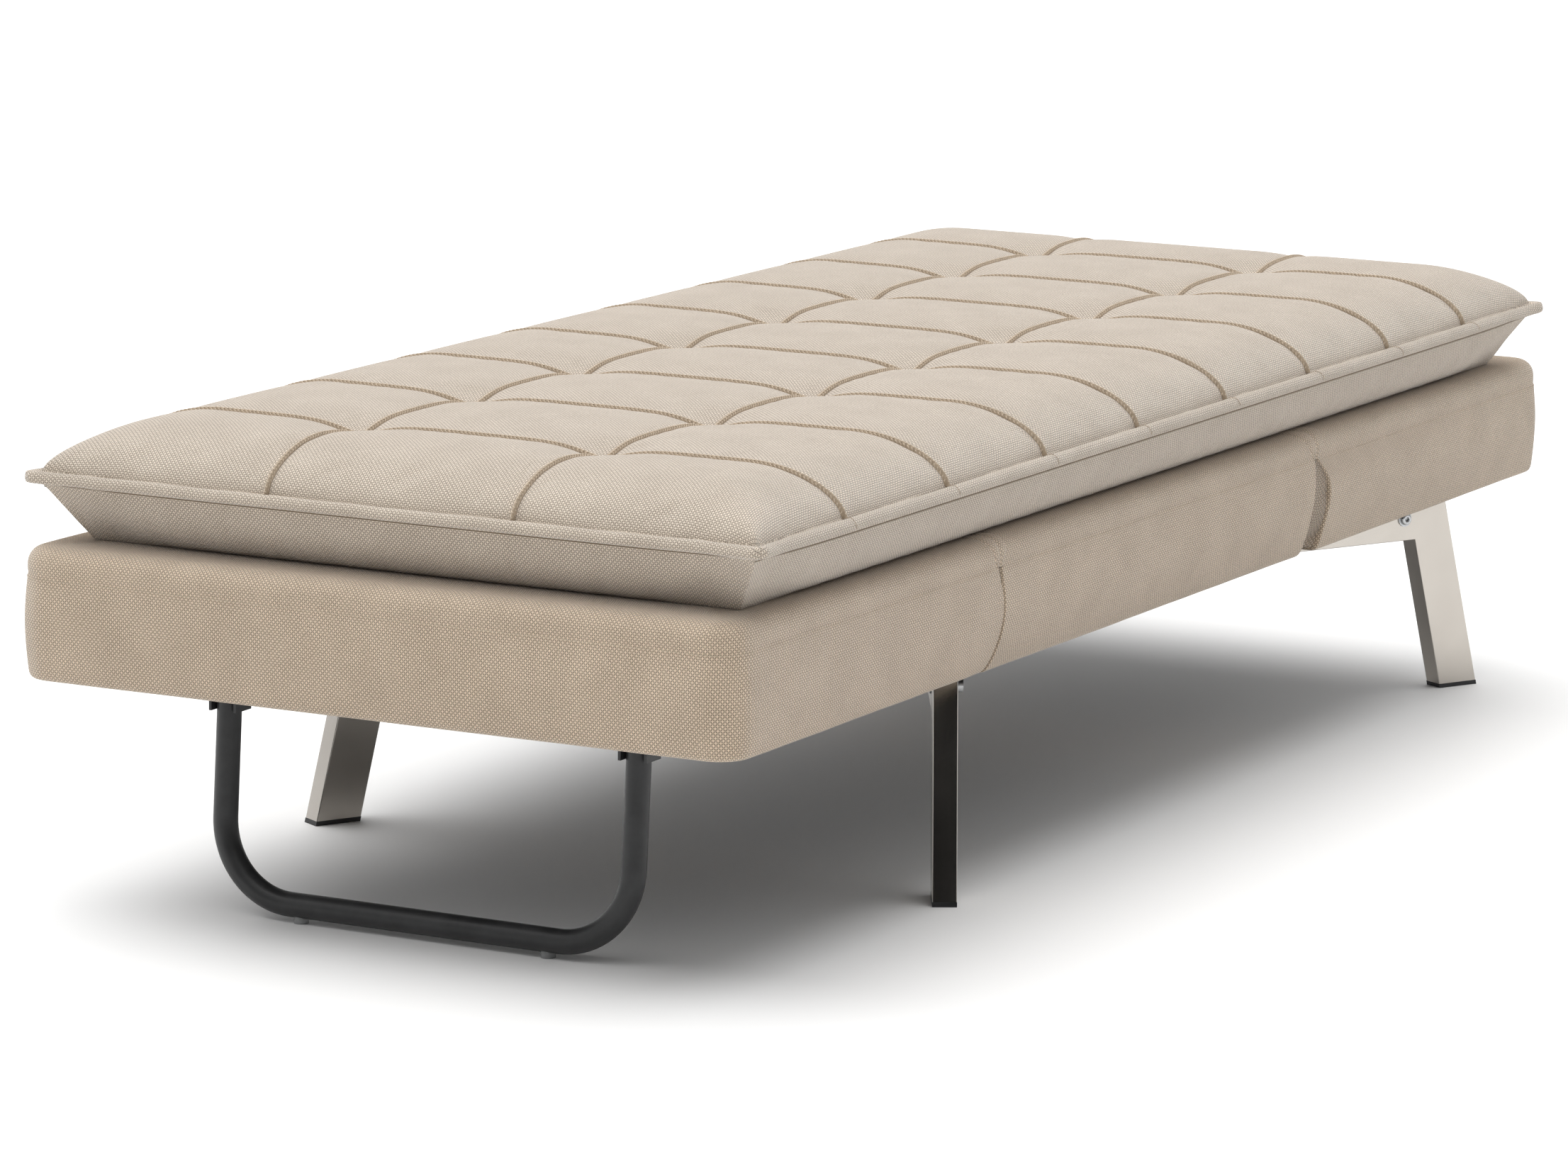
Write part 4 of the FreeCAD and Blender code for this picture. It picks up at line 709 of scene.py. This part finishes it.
def topperSides(t, columns, rows):
    half, thick, lip = t["halfWidth"], t["lipThick"], t["lip"]
    top, low = t["weltHeight"] + thick / 2, t["weltHeight"] - thick / 2
    flange = [(lip, top - 0.0002), (lip - 0.0011, top - 0.0026), (lip - 0.0028, top + 0.0003),
              (lip - 0.006, top + 0.0014), (lip - 0.0095, top + 0.0004), (0.0012, top - 0.0024),
              (0.0, t["weltHeight"] - 0.0006), (0.0010, low + 0.0014), (0.0034, low - 0.0010),
              (lip - 0.004, low - 0.0008), (lip - 0.0012, low + 0.0018)]
    shares = np.linspace(0.08, 1, 11)
    turns = shares * math.pi / 2
    start, reach, fall = lip - t["wallInset"], t["contact"] - lip, low - t["bottom"]
    full = np.stack([start + reach * (1 - np.cos(turns)) ** 0.92,
                     low - fall * np.sin(turns) ** 0.95], -1)  # rounded belly along the sides
    lean = np.stack([start + reach * shares ** 0.9, low - fall * shares ** 0.92], -1)  # straighter at the corners
    wall = t["belly"] * full + (1 - t["belly"]) * lean
    inner = half - lip
    near, far = t["near"] + lip, t["far"] - lip
    sides = {}
    profile = np.concatenate([flange, wall])
    cornerWall = np.concatenate([flange, lean])

    def shaped(lines, ends):  # the profile eases into its corner form at both ends
        away = np.minimum(lines - ends[0], ends[1] - lines)[None, :]
        corner = np.exp(-(away / t["cornerReach"]) ** 2)
        mixed = [profile[:, k:k + 1] * (1 - corner) + cornerWall[:, k:k + 1] * corner for k in (0, 1)]
        return mixed[0], mixed[1]
    insetA, levelA = shaped(columns, (-inner, inner))
    insetB, levelB = shaped(rows, (near, far))
    across = columns[None, :] * (half - insetA) / inner
    lengthwise = ((rows - (near + far) / 2)[None, :] * ((t["far"] - t["near"]) / 2 - insetB)
                  / ((far - near) / 2) + (near + far) / 2)

    def laid(x, y, inset, level):
        x, y, z = edgeShape(t, x + 0 * inset, y + 0 * inset, inset + 0 * x, level + 0 * x)
        return np.stack([x + t["shift"], y, z + 0 * x], -1)

    def pucker(inset, along, seed):
        return np.clip((inset - lip) / t["puckerReach"], 0, 1) * t["pucker"] * waver(4 * along, 0 * along, seed)
    sides["near"] = laid(across, t["near"] + insetA - pucker(insetA, across, 0.2), insetA, levelA)
    sides["far"] = laid(across, t["far"] - insetA + pucker(insetA, across, 0.9), insetA, levelA)
    sides["left"] = laid(-(half - insetB) - pucker(insetB, lengthwise, 1.7), lengthwise, insetB, levelB)
    sides["right"] = laid(half - insetB + pucker(insetB, lengthwise, 2.6), lengthwise, insetB, levelB)
    for name, end in (("near", 0), ("far", -1)):  # sides meet the ends exactly
        sides[name][:, 0], sides[name][:, -1] = sides["left"][:, end], sides["right"][:, end]
    return sides


def makeTopper(t):
    xs, ys, columns, rows = topperLines(t)
    x, y = np.meshgrid(columns, rows)
    grid = np.stack([x, y, topSurface(t, xs, ys, x, y)], -1)
    onSeam = (nearest(x, xs) < 1e-6) | (nearest(y, ys) < 1e-6)
    grid = puffed(t, grid, onSeam)
    toSeam = np.minimum(nearest(x, xs[1:-1]), nearest(y, ys[1:-1]))
    toEdge = np.minimum(np.minimum(x - xs[0], xs[-1] - x), np.minimum(y - ys[0], ys[-1] - y))
    fade = np.clip(toEdge / t["grooveFade"], t["grooveLeast"], 1)
    grid[..., 2] -= t["groove"] * np.exp(-(toSeam / t["grooveWidth"]) ** 2) * fade
    sides = topperSides(t, columns, rows)
    grid[..., 0] += t["shift"]
    grid[0], grid[-1] = sides["near"][0], sides["far"][0]
    grid[:, 0], grid[:, -1] = sides["left"][0], sides["right"][0]
    split = int(np.argmin(np.abs(rows - (t["firstSeam"] + t["seamPitch"] * t["splitSeam"]))))
    for name in ("left", "right"):  # keep the cut straight
        sides[name][:, split, 1] = rows[split]
    grid[split, :, 1] = rows[split]
    halves = {}
    for name, part in (("near", slice(0, split + 1)), ("far", slice(split, len(rows)))):
        work = Patchwork()
        for patch in (grid[part], sides[name], sides["left"][:, part], sides["right"][:, part]):
            work.patch(patch)
        piece = work.build(f"topper_{name}_half", finishes["topper"])
        halves[name] = capped(subdivided(piece), (sides["left"][-1, split], sides["right"][-1, split]))
    stage("topper halves")
    return halves, grid, sides, rows, columns, ys, split


def topperSeams(t, grid, sides, rows, columns, ys, split):
    cord, stitch, beside, over = t["cord"], t["stitch"], t["beside"], t["over"]
    lines = {"near": [], "far": []}  # each seam with the way its cord faces
    lengthwise, crosswise = np.array((0.0, 1.0, 0.0)), np.array((1.0, 0.0, 0.0))
    for k, y in enumerate(ys[1:-1]):
        seam = grid[int(np.argmin(np.abs(rows - y)))]
        lines["near" if k < t["splitSeam"] else "far"].append((seam, lengthwise))
    for x in t["columns"]:
        i = int(np.argmin(np.abs(columns - x)))
        lines["near"].append((grid[:split + 1, i], crosswise))
        lines["far"].append((grid[split:, i], crosswise))
    made = {}
    for name, part in (("near", slice(0, split + 1)), ("far", slice(split, len(rows)))):
        left, right = sides["left"][:, part], sides["right"][:, part]
        cords = [cordRun(line, **cord) for line, facing in lines[name]]
        stitches = []
        for line, facing in lines[name]:  # oversewn: threads over the top and down both faces
            stitches.append(stitchRun(line, cord["height"] - over["sunk"], length=over["length"], lean=over["lean"],
                                      **stitch))
            for way in (1, -1):
                face = line + way * facing * cord["width"] * beside["out"]
                face = face + np.array((0, 0, cord["height"] * beside["up"]))
                stitches.append(stitchRun(face, 0.0, length=beside["length"], lean=way * beside["lean"],
                                          side=way * facing, **stitch))
        hems = [stitchRun(line, **t["hem"]) for line in (sides[name][1], left[1], right[1])]
        for y in ys[1:-1]:  # short joins across the flange beside each seam
            if (y <= rows[split]) == (name == "near"):
                for side, way in (("left", -1), ("right", 1)):
                    row = int(np.argmin(np.abs(rows - (y + t["joinBeside"]))))
                    curve = sides[side][t["joinRows"], row].copy()
                    curve[:, 1] += np.linspace(*t["joinSlant"], len(curve))
                    hems.append(stitchRun(curve, **t["join"], side=(way, 0, 0.6)))
        edges = []  # painted shadow: a seam sunk where the flange meets the wall, coloured near black for the shade under the flange
        for kind, line, outward in (("end", sides[name], (0, -1 if name == "near" else 1, -0.4)),
                                    ("side", left, (-1, 0, -0.4)), ("side", right, (1, 0, -0.4))):
            row, drop = t["edgeRow"], t["edgeDrop"][kind]
            edges.append(cordRun((1 - drop) * line[row] + drop * line[row + 1], **t["shadowSeam"], side=outward))
        made[name] = [stitchPiece(f"topper_{name}_cords", cords, finishes["cord"]),
                      stitchPiece(f"topper_{name}_shadow_seam", edges, finishes["edge"]),
                      stitchPiece(f"topper_{name}_stitches", stitches, finishes["thread"]),
                      stitchPiece(f"topper_{name}_hem", hems, finishes["hem"])]
    return made


halves, topGrid, topSides, topRows, topColumns, seamYs, topSplit = makeTopper(topper)
seams = topperSeams(topper, topGrid, topSides, topRows, topColumns, seamYs, topSplit)
stage("topper seams")


# Upholstered base sections
base = {
    "halfWidth": 0.407, "near": -0.9855, "far": 0.9855, "bottom": 0.238, "top": 0.372,
    "endCorner": 0.035, "leastCorner": 0.005, "foldCorner": 0.002, "foldInset": 0.25, "topRound": 0.019,
    "hem": ((0.034, 0.2394), (0.020, 0.2386), (0.010, 0.2380), (0.0045, 0.2388), (0.0014, 0.2414)),
    "wall": (0.246, 0.3425), "wallRows": (0.256, 0.269, 0.283, 0.298, 0.313, 0.327, 0.337), "bulge": 0.0032,
    "seam": 0.345, "seamDepth": 0.0010, "overSeam": (0.0002, 0.3476),
    "flatInsets": (0.032, 0.060), "flatLift": 0.0001,
    "uneven": 0.0008, "step": 0.014, "stepHeight": 0.30, "endSteps": 56, "foldSteps": 12,
    "hollow": 0.0018, "hollowReach": 0.022, "hollowTop": 0.34,
    "cornerSeam": 2, "cornerSeamDepth": 0.0014, "cornerSeamLow": 0.243,
}


def sideProfile(b):  # inset and height from the hem up to the top
    low, high = b["wall"]
    rows = [*b["hem"], (0.0, low)]
    rows += [(-b["bulge"] * math.sin(math.pi * (z - low) / (high - low)), z) for z in b["wallRows"]]
    rows += [(0.0, high), (b["seamDepth"], b["seam"]), b["overSeam"]]
    centre = b["top"] - b["topRound"]
    for turn in range(10, 91, 16):
        angle = math.radians(turn)
        rows.append((b["topRound"] * (1 - math.cos(angle)), centre + b["topRound"] * math.sin(angle)))
    return rows + [(inset, b["top"] + b["flatLift"]) for inset in b["flatInsets"]]


def planLoop(half, y0, y1, r0, r1, steps):
    def line(a, b, count):
        t = np.linspace(0, 1, count + 1)[:-1, None]
        return np.array(a) * (1 - t) + np.array(b) * t

    def arc(cx, cy, r, a0, a1):
        angles = np.radians(np.linspace(a0, a1, 7))[:-1]
        return np.stack([cx + r * np.cos(angles), cy + r * np.sin(angles)], -1)
    side = steps["side"]
    loop = [line((-half, y1 - r1), (-half, y0 + r0), side), arc(-half + r0, y0 + r0, r0, 180, 270),
            line((-half + r0, y0), (half - r0, y0), steps["first"]), arc(half - r0, y0 + r0, r0, 270, 360),
            line((half, y0 + r0), (half, y1 - r1), side), arc(half - r1, y1 - r1, r1, 0, 90),
            line((half - r1, y1), (-half + r1, y1), steps["last"]), arc(-half + r1, y1 - r1, r1, 90, 180)]
    starts = np.cumsum([0] + [len(part) for part in loop])
    loop = np.concatenate(loop)
    return np.concatenate([loop, loop[:1]]), starts


def outwardOf(points):  # level outward directions round each loop
    ahead = np.roll(points[:, :-1], -1, axis=1) - np.roll(points[:, :-1], 1, axis=1)
    out = np.stack([-ahead[..., 1], ahead[..., 0], 0 * ahead[..., 0]], -1)
    out /= np.linalg.norm(out, axis=2, keepdims=True) + 1e-12
    out = np.concatenate([out, out[:, :1]], 1)
    return -out


def unevenness(b, points):
    x, y, z = points[..., 0], points[..., 1], points[..., 2]
    return b["uneven"] * (waver(0.55 * x + 0.2 * z, 0.5 * y, 0.3) + 0.5 * waver(1.3 * y + z, 1.1 * x + 2.2 * z, 1.1))


def makeSection(b, section, first, last):
    profile = sideProfile(b)
    free = {"first": section == "foot", "last": section == "back"}  # the ends that meet no fold
    steps = {end: b["endSteps" if free[end] else "foldSteps"] for end in free}
    steps["side"] = int((last(b["stepHeight"]) - first(b["stepHeight"])) / b["step"])

    def endOf(end, inset):  # how far a row stands back at an end, and its corner there
        if free[end]:
            return inset, max(b["leastCorner"], b["endCorner"] - inset)
        return inset * b["foldInset"], b["foldCorner"]
    rings = []
    for inset, z in profile:
        (back0, r0), (back1, r1) = endOf("first", inset), endOf("last", inset)
        loop, starts = planLoop(b["halfWidth"] - inset, first(z) + back0, last(z) - back1, r0, r1, steps)
        rings.append(np.column_stack([loop, np.full(len(loop), z)]))
    points = np.stack(rings)
    rise = unevenness(b, points)
    if section == "foot":  # slight hollow in front of the closed fold
        beside = (last(points[..., 2]) - points[..., 1]) / b["hollowReach"]
        rise = rise - b["hollow"] * np.exp(-beside ** 2) * (points[..., 2] < b["hollowTop"])
    points += outwardOf(points) * rise[..., None]
    seamColumns = {"foot": (starts[2] - b["cornerSeam"], starts[3] + b["cornerSeam"]),
                   "back": (starts[6] - b["cornerSeam"], starts[7] + b["cornerSeam"]), "seat": ()}[section]
    out = outwardOf(points)
    for column in seamColumns:  # upright seams at the free corners
        for row, (inset, z) in enumerate(profile):
            if b["cornerSeamLow"] < z <= b["seam"]:
                points[row, column] -= out[row, column] * b["cornerSeamDepth"]
    piece = clothPiece(points, f"{section}_upholstery", finishes["cover"])
    return capped(subdivided(piece)), points


sectionEnds = {
    "foot": (lambda z: base["near"], footFace),
    "seat": (seatFront, seatRear),
    "back": (backFace, lambda z: base["far"]),
}
covers, coverPoints = {}, {}
for section, (first, last) in sectionEnds.items():
    covers[section], coverPoints[section] = makeSection(base, section, first, last)
stage("base sections")


# Cloth bands that carry the top edge across each fold
band = {"overlap": 0.007, "proud": 0.0007, "dive": 0.0022, "columns": 17, "low": 0.3405, "mostInset": 0.02,
        "flatHalf": 0.36, "flatSteps": 25, "crease": 0.0012, "creaseWidth": 0.12, "thick": 0.0014}


def makeBand(b, s, name, fold):
    side = [(b["halfWidth"] - inset, z) for inset, z in sideProfile(b) if z > s["low"] and inset < s["mostInset"]]
    across = [(x, b["top"] + b["flatLift"]) for x in np.linspace(s["flatHalf"], -s["flatHalf"], s["flatSteps"])]
    path = np.array(side + across + [(-x, z) for x, z in reversed(side)])
    ahead = np.gradient(path, axis=0)
    normal = np.stack([ahead[:, 1], -ahead[:, 0]], -1)
    normal /= np.linalg.norm(normal, axis=1, keepdims=True)
    share = np.linspace(-1, 1, s["columns"])
    half = notchHalf(fold, path[:, 1]) + s["overlap"]
    y = fold["axis"] + half[:, None] * share[None, :]
    x, z = path[:, :1] + 0 * y, path[:, 1:] + 0 * y
    points = np.stack([x, y, z], -1)
    crease = s["crease"] * np.exp(-(share / s["creaseWidth"]) ** 2)
    lift = s["proud"] - s["dive"] * np.abs(share) ** 5 - crease
    outward = np.stack([normal[:, 0], 0 * normal[:, 0], normal[:, 1]], -1)[:, None, :]
    points += outward * (lift[None, :] + unevenness(b, points))[..., None]
    piece = clothPiece(points, f"{name}_fold_band", finishes["cover"])
    thick = piece.modifiers.new("cloth", "SOLIDIFY")
    thick.thickness, thick.offset = s["thick"], 1.0 if piece.data.polygons[0].normal.x < 0 else -1.0
    return piece


bands = {name: makeBand(base, band, name, fold) for name, fold in folds.items()}


# Gussets: pleated cloth inside the open part of each fold, down both sides and across the underside
gusset = {"tuck": {"foot": 0.020, "back": 0.010}, "skin": 0.0012, "columns": 25, "rows": 26,
          "side": (0.3415, 0.2425), "under": 0.2405, "underInset": 0.006, "underSteps": 34,
          "underLift": (0.001, 0.003),
          "depth": {"foot": 0.006, "back": 0.0085}, "hollowAt": 0.60, "hollowBy": 0.25,
          "creaseAt": 0.43, "creaseSlant": 0.10, "creaseWidth": 0.035, "crease": 0.0012,
          "swell": 0.0014, "swellBy": 0.08, "turn": {"foot": (-0.012, 0.012), "back": (-0.011, 0.013)}}


def makeGusset(b, g, name, nearFace, farFace):
    half, inner = b["halfWidth"], b["halfWidth"] - g["underInset"]
    down = [(half, z, 0.0) for z in np.linspace(*g["side"], g["rows"])]
    under = [(x, g["under"], 1.0) for x in np.linspace(inner, -inner, g["underSteps"])]
    path = np.array(down + under + [(-x, z, flat) for x, z, flat in reversed(down)])
    share = np.linspace(0, 1, g["columns"])
    depthShare = belowAxis(path[:, 1])[:, None]
    y0 = nearFace(path[:, 1]) - g["tuck"][name]
    y1 = farFace(path[:, 1]) + g["tuck"][name]
    y = y0[:, None] + (y1 - y0)[:, None] * share[None, :]
    hollow = np.clip((depthShare - g["hollowAt"]) / g["hollowBy"], 0, 1) ** 2  # shallow over the hinge
    fold = np.sin(np.pi * share)[None, :] ** 0.8
    toCrease = depthShare - g["creaseAt"]
    crease = np.exp(-((toCrease + g["creaseSlant"] * (share[None, :] - 0.5)) / g["creaseWidth"]) ** 2)
    below = np.clip(toCrease / g["swellBy"], 0, 1)
    shape = g["depth"][name] * hollow + g["crease"] * crease - g["swell"] * below * (1 - hollow)
    recess = g["skin"] + shape * fold
    inward, flat = np.sign(path[:, :1]), path[:, 2:]
    x = path[:, :1] - (1 - flat) * inward * recess
    z = path[:, 1:2] + flat * (g["underLift"][0] + g["underLift"][1] * fold)
    points = np.stack([x + 0 * y, y, z + 0 * y], -1)
    # the gussets wear the pleat cloth, painted darker as shade in the folds
    return smoothed(clothPiece(points, f"{name}_gusset", finishes["pleat"]))


gussets = {"foot": makeGusset(base, gusset, "foot", footFace, seatFront),
           "back": makeGusset(base, gusset, "back", seatRear, backFace)}
stage("fold bands and gussets")


# Fine topstitching under the base's top edge
topstitch = {"below": 0.0012, "clear": 0.002, "group": 6,
             "thread": {"lift": 0.0002, "pitch": 0.0046, "length": 0.0034, "width": 0.0009, "height": 0.0007}}


def stitchAlong(s, line, middle):  # stitches on an upright wall, facing away from the middle
    points, faces = [], []
    for start in range(0, len(line) - 1, s["group"]):
        part = line[start:start + s["group"] + 1]
        away = part.mean(0) - middle
        away[2] = 0
        way = part[-1] - part[0]
        side = np.array([way[1], -way[0], 0])
        side *= np.sign(side @ away) or 1
        runPoints, runFaces = stitchRun(part, **s["thread"], side=side)
        faces.extend(tuple(k + len(points) for k in face) for face in runFaces)
        points.extend(runPoints)
    return points, faces


def baseStitches(b, s):
    row = next(k for k, (inset, z) in enumerate(sideProfile(b)) if abs(z - b["seam"]) < 1e-6)
    pieces = {}
    for section, points in coverPoints.items():
        line = points[row - 1].copy()
        line[:, 2] -= s["below"]
        middle = np.array([0, (line[:, 1].min() + line[:, 1].max()) / 2, b["seam"]])
        first, last = sectionEnds[section]
        low = -math.inf if section == "foot" else first(b["seam"]) + s["clear"]
        high = math.inf if section == "back" else last(b["seam"]) - s["clear"]
        shown = (line[:, 1] > low) & (line[:, 1] < high)
        breaks = np.flatnonzero(np.diff(shown.astype(int))) + 1
        runs = [stitchAlong(s, line[part], middle) for part in np.split(np.arange(len(line)), breaks)
                if shown[part[0]] and len(part) > 2]
        pieces[section] = stitchPiece(f"{section}_topstitch", runs, finishes["hem"])
    return pieces


topstitches = baseStitches(base, topstitch)
stage("base stitches")


# Dust cloth under each section
dust = {"edge": 0.022, "height": 0.2372, "lift": 0.0006, "sag": 0.0035, "sagPower": 0.6, "uneven": 0.2,
        "columns": 30, "rows": 26}


def makeDust(d, section, first, last):
    y0, y1 = first(base["bottom"]) + d["edge"], last(base["bottom"]) - d["edge"]
    half = base["halfWidth"] - d["edge"]
    x, y = np.meshgrid(np.linspace(-half, half, d["columns"]), np.linspace(y0, y1, d["rows"]))
    span = np.cos(np.pi * x / (2 * half)) * np.cos(np.pi * (y - (y0 + y1) / 2) / (y1 - y0))
    sag = d["sag"] * np.clip(span, 0, 1) ** d["sagPower"]
    z = d["height"] + d["lift"] - sag * (1 - d["uneven"] + d["uneven"] * waver(x, y, 0.6))
    piece = clothPiece(np.stack([x, y, z], -1), f"{section}_dust_sheet", finishes["dust"])
    return smoothed(piece), (2 * half, y1 - y0)


dustSheets = {section: makeDust(dust, section, *ends) for section, ends in sectionEnds.items()}
stage("dust sheets")


# Crossing trestles: rectangular tube with eased edges, mitred where leg meets beam
trestle = {"centre": 0.185, "reach": 0.745852, "lean": 13.3, "foot": 0.005, "beamTop": 0.232,
           "depth": 0.052, "thick": 0.025, "edge": 0.0012, "edgeSteps": 4, "rings": 6, "sharp": 40.0,
           "middleGap": 0.004, "spanX": 0.728, "spanY": 1.302}


def tubeSection(t):
    w, n, r = t["depth"] / 2, t["thick"] / 2, t["edge"]
    loop = []
    for cw, cn, start in ((w - r, n - r, 0), (-w + r, n - r, 90), (-w + r, -n + r, 180), (w - r, -n + r, 270)):
        for k in range(t["edgeSteps"] + 1):
            angle = math.radians(start + 90 * k / t["edgeSteps"])
            loop.append((cw + r * math.cos(angle), cn + r * math.sin(angle)))
    return np.array(loop)


def makeTube(t, name, side, ends):  # side 1: from left front to right rear; ends: places along it
    slope, depth = math.tan(math.radians(t["lean"])), t["depth"]
    middle = t["beamTop"] - depth / 2
    cut = depth / math.cos(math.radians(t["lean"])) / 2
    corner = t["reach"] - middle * slope
    upper = np.array([t["reach"] + cut - t["beamTop"] * slope, t["beamTop"]])
    mitre = (upper - np.array([corner, middle])) / (depth / 2)
    foot = t["reach"] - t["foot"] * slope
    loop = tubeSection(t)
    loop = np.concatenate([loop, loop[:1]])
    stations = []
    for kind, sign in ends:
        if kind == "foot":
            plan = np.stack([foot + loop[:, 0] / (depth / 2) * cut, np.full(len(loop), t["foot"])], -1)
        elif kind == "corner":
            plan = np.array([corner, middle]) + loop[:, :1] * mitre
        else:
            plan = np.stack([np.full(len(loop), t["middleGap"]), middle + loop[:, 0]], -1)
        stations.append(np.stack([sign * plan[:, 0], loop[:, 1], plan[:, 1]], -1))
    points = []
    for a, b in zip(stations, stations[1:]):  # extra rings keep the brushed grain even
        points += [a + (b - a) * k / t["rings"] for k in range(t["rings"])]
    points = np.stack(points + [stations[-1]])
    run = np.linalg.norm(np.diff(points.mean(1), axis=0), axis=1)
    along = np.insert(np.cumsum(run), 0, 0)[:, None] + 0 * points[..., 0]
    around = gridRun(points, 1)
    angle = math.atan2(t["spanY"], side * t["spanX"])
    turn = np.array([[math.cos(angle), -math.sin(angle), 0], [math.sin(angle), math.cos(angle), 0], [0, 0, 1]])
    points = points @ turn.T + np.array([0, t["centre"], 0])
    work = Patchwork()
    work.patch(points, np.stack([along, around], -1))
    work.ring(points[0, :-1])
    work.ring(points[-1, :-1])
    piece = work.build(name, finishes["nickel"])
    for face in piece.data.polygons:
        face.use_smooth = len(face.vertices) == 4
    piece.data.set_sharp_from_angle(angle=math.radians(t["sharp"]))
    piece.modifiers.new("even", "WEIGHTED_NORMAL").keep_sharp = True
    return piece


tubeEnds = {
    "trestle_long": (1, [("foot", -1), ("corner", -1), ("corner", 1), ("foot", 1)]),
    "trestle_front": (-1, [("middle", -1), ("corner", -1), ("foot", -1)]),
    "trestle_rear": (-1, [("middle", 1), ("corner", 1), ("foot", 1)]),
}
tubeNodes = {
    "trestle_long": ("beam_long", "leg_rear_right", "leg_front_left"),
    "trestle_front": ("leg_front_right",),
    "trestle_rear": ("beam_halves", "leg_rear_left"),
}
tubes = {name: (makeTube(trestle, name, *ends), tubeNodes[name]) for name, ends in tubeEnds.items()}
stage("trestle tubes")


# Socket-headed leg bolts on their washers
legBolt = {"place": 0.6607, "height": 0.206, "face": 0.0141, "radius": 0.0070, "tall": 0.0038,
           "socket": 0.0031, "deep": 0.0030, "shank": 0.0040, "end": -0.0201, "segments": 48,
           "head": ((1.0, 0.0), (1.0, 0.35), (0.96, 0.6), (0.82, 0.86), (0.62, 1.0)), "rim": 1.18, "rimDrop": 0.0003,
           "core": 0.0004, "bevel": 0.0006, "sharp": 35.0}


def makeLegBolts(b, t):
    tip, well = b["end"] - b["face"], b["tall"] - b["deep"]
    profile = [(b["core"], tip), (b["shank"] - b["bevel"], tip), (b["shank"], tip + b["bevel"]), (b["shank"], 0.0)]
    profile += [(b["radius"] * wide, b["tall"] * high) for wide, high in b["head"]]
    profile += [(b["socket"] * b["rim"], b["tall"]), (b["socket"], b["tall"] - b["rimDrop"]), (b["socket"], well),
                (b["core"], well - b["bevel"])]
    work = Patchwork()
    turns = np.linspace(0, 2 * np.pi, b["segments"] + 1)
    hexagon = math.cos(math.pi / 6) / np.cos((turns % (math.pi / 3)) - math.pi / 6)
    for side in (1, -1):
        angle = math.atan2(t["spanY"], side * t["spanX"])
        ahead = np.array([math.cos(angle), math.sin(angle), 0])
        beside = np.array([math.sin(angle), -math.cos(angle), 0])  # the heads' side of the beam
        for end in (1, -1):
            centre = ahead * end * b["place"] + np.array([0, t["centre"], b["height"]])
            rings = []
            for radius, out in profile:
                inSocket = out > 0 and radius <= b["socket"] * 1.001
                shape = radius * (hexagon if inSocket else 1.0) * np.ones_like(turns)
                rings.append(centre + beside * (b["face"] + out) + np.outer(shape * np.cos(turns), ahead)
                             + np.outer(shape * np.sin(turns), (0, 0, 1)))
            work.patch(np.stack(rings))
    piece = work.build("leg_bolt_heads", finishes["zinc"])
    piece.data.set_sharp_from_angle(angle=math.radians(b["sharp"]))
    return piece


boltHeads = makeLegBolts(legBolt, trestle)
stage("leg bolts")


# Finishes on the pieces that keep their CAD form
nodeFinishes = {
    "powder": ("support_hoop", "hoop_brackets", "centre_plate", "front_plates"),
    "zinc": ("leg_washers", "leg_nuts", "mount_bolts", "bracket_screws", "pivot_bolts", "pivot_nuts",
             "hinge_pins_foot", "hinge_pins_back", "hinge_screws_seat", "hinge_screws_foot", "hinge_screws_back"),
    "hinge": ("hinge_seat_plates_foot", "hinge_seat_plates_back", "hinge_plates_foot", "hinge_plates_back",
              "detent_springs_foot", "detent_springs_back"),
    "cap": ("foot_caps",),
    "glide": ("hoop_glides",),
    "block": ("corner_connectors",),
    "rubber": ("back_bumpers",),
    "wood": tuple(f"{s}_{p}" for s in ("foot", "seat", "back") for p in ("side_rails", "cross_rails", "slats")),
}
for finishName, names in nodeFinishes.items():
    for name in names:
        mesh = nodes[name].data
        mesh.materials.clear()
        mesh.materials.append(finishes[finishName])
        mesh.polygons.foreach_set("material_index", [0] * len(mesh.polygons))
stage("node finishes")


# What each piece moves with and stands for; the pieces across the folds are only baked in place
foldReach = {name: [(0, fold["axis"] + way * fold["reach"], fold["height"]) for way in (-1, 1)]
             for name, fold in folds.items()}
crossing = {"near": ("foot", "seat", *foldReach["foot"]), "far": ("seat", "back", *foldReach["back"])}
for name, (bodyA, bodyB, start, end) in crossing.items():
    for piece in (halves[name], *seams[name]):
        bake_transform(piece)
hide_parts("topper_foot", "topper_crease_foot")
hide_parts("topper_seat", "topper_back", "topper_crease_back")
for section, piece in covers.items():
    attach(piece, section)
    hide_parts(f"{section}_cover", f"{section}_foam")
    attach(topstitches[section], section)
    sheet, flat = dustSheets[section]
    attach(sheet, section)
    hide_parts(f"{section}_dust_cover")
for name, fold in folds.items():
    half = float(notchHalf(fold, base["top"]))
    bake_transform(bands[name])
    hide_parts(f"crease_roll_{name}")
    start, end = (fold["axis"] + reach for reach in gusset["turn"][name])
    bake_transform(gussets[name])
    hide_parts(f"side_pleats_{name}")
for piece, replaced in tubes.values():
    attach(piece, "seat")
    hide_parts(*replaced)
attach(boltHeads, "seat")
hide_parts("leg_bolts")
stage("riding")
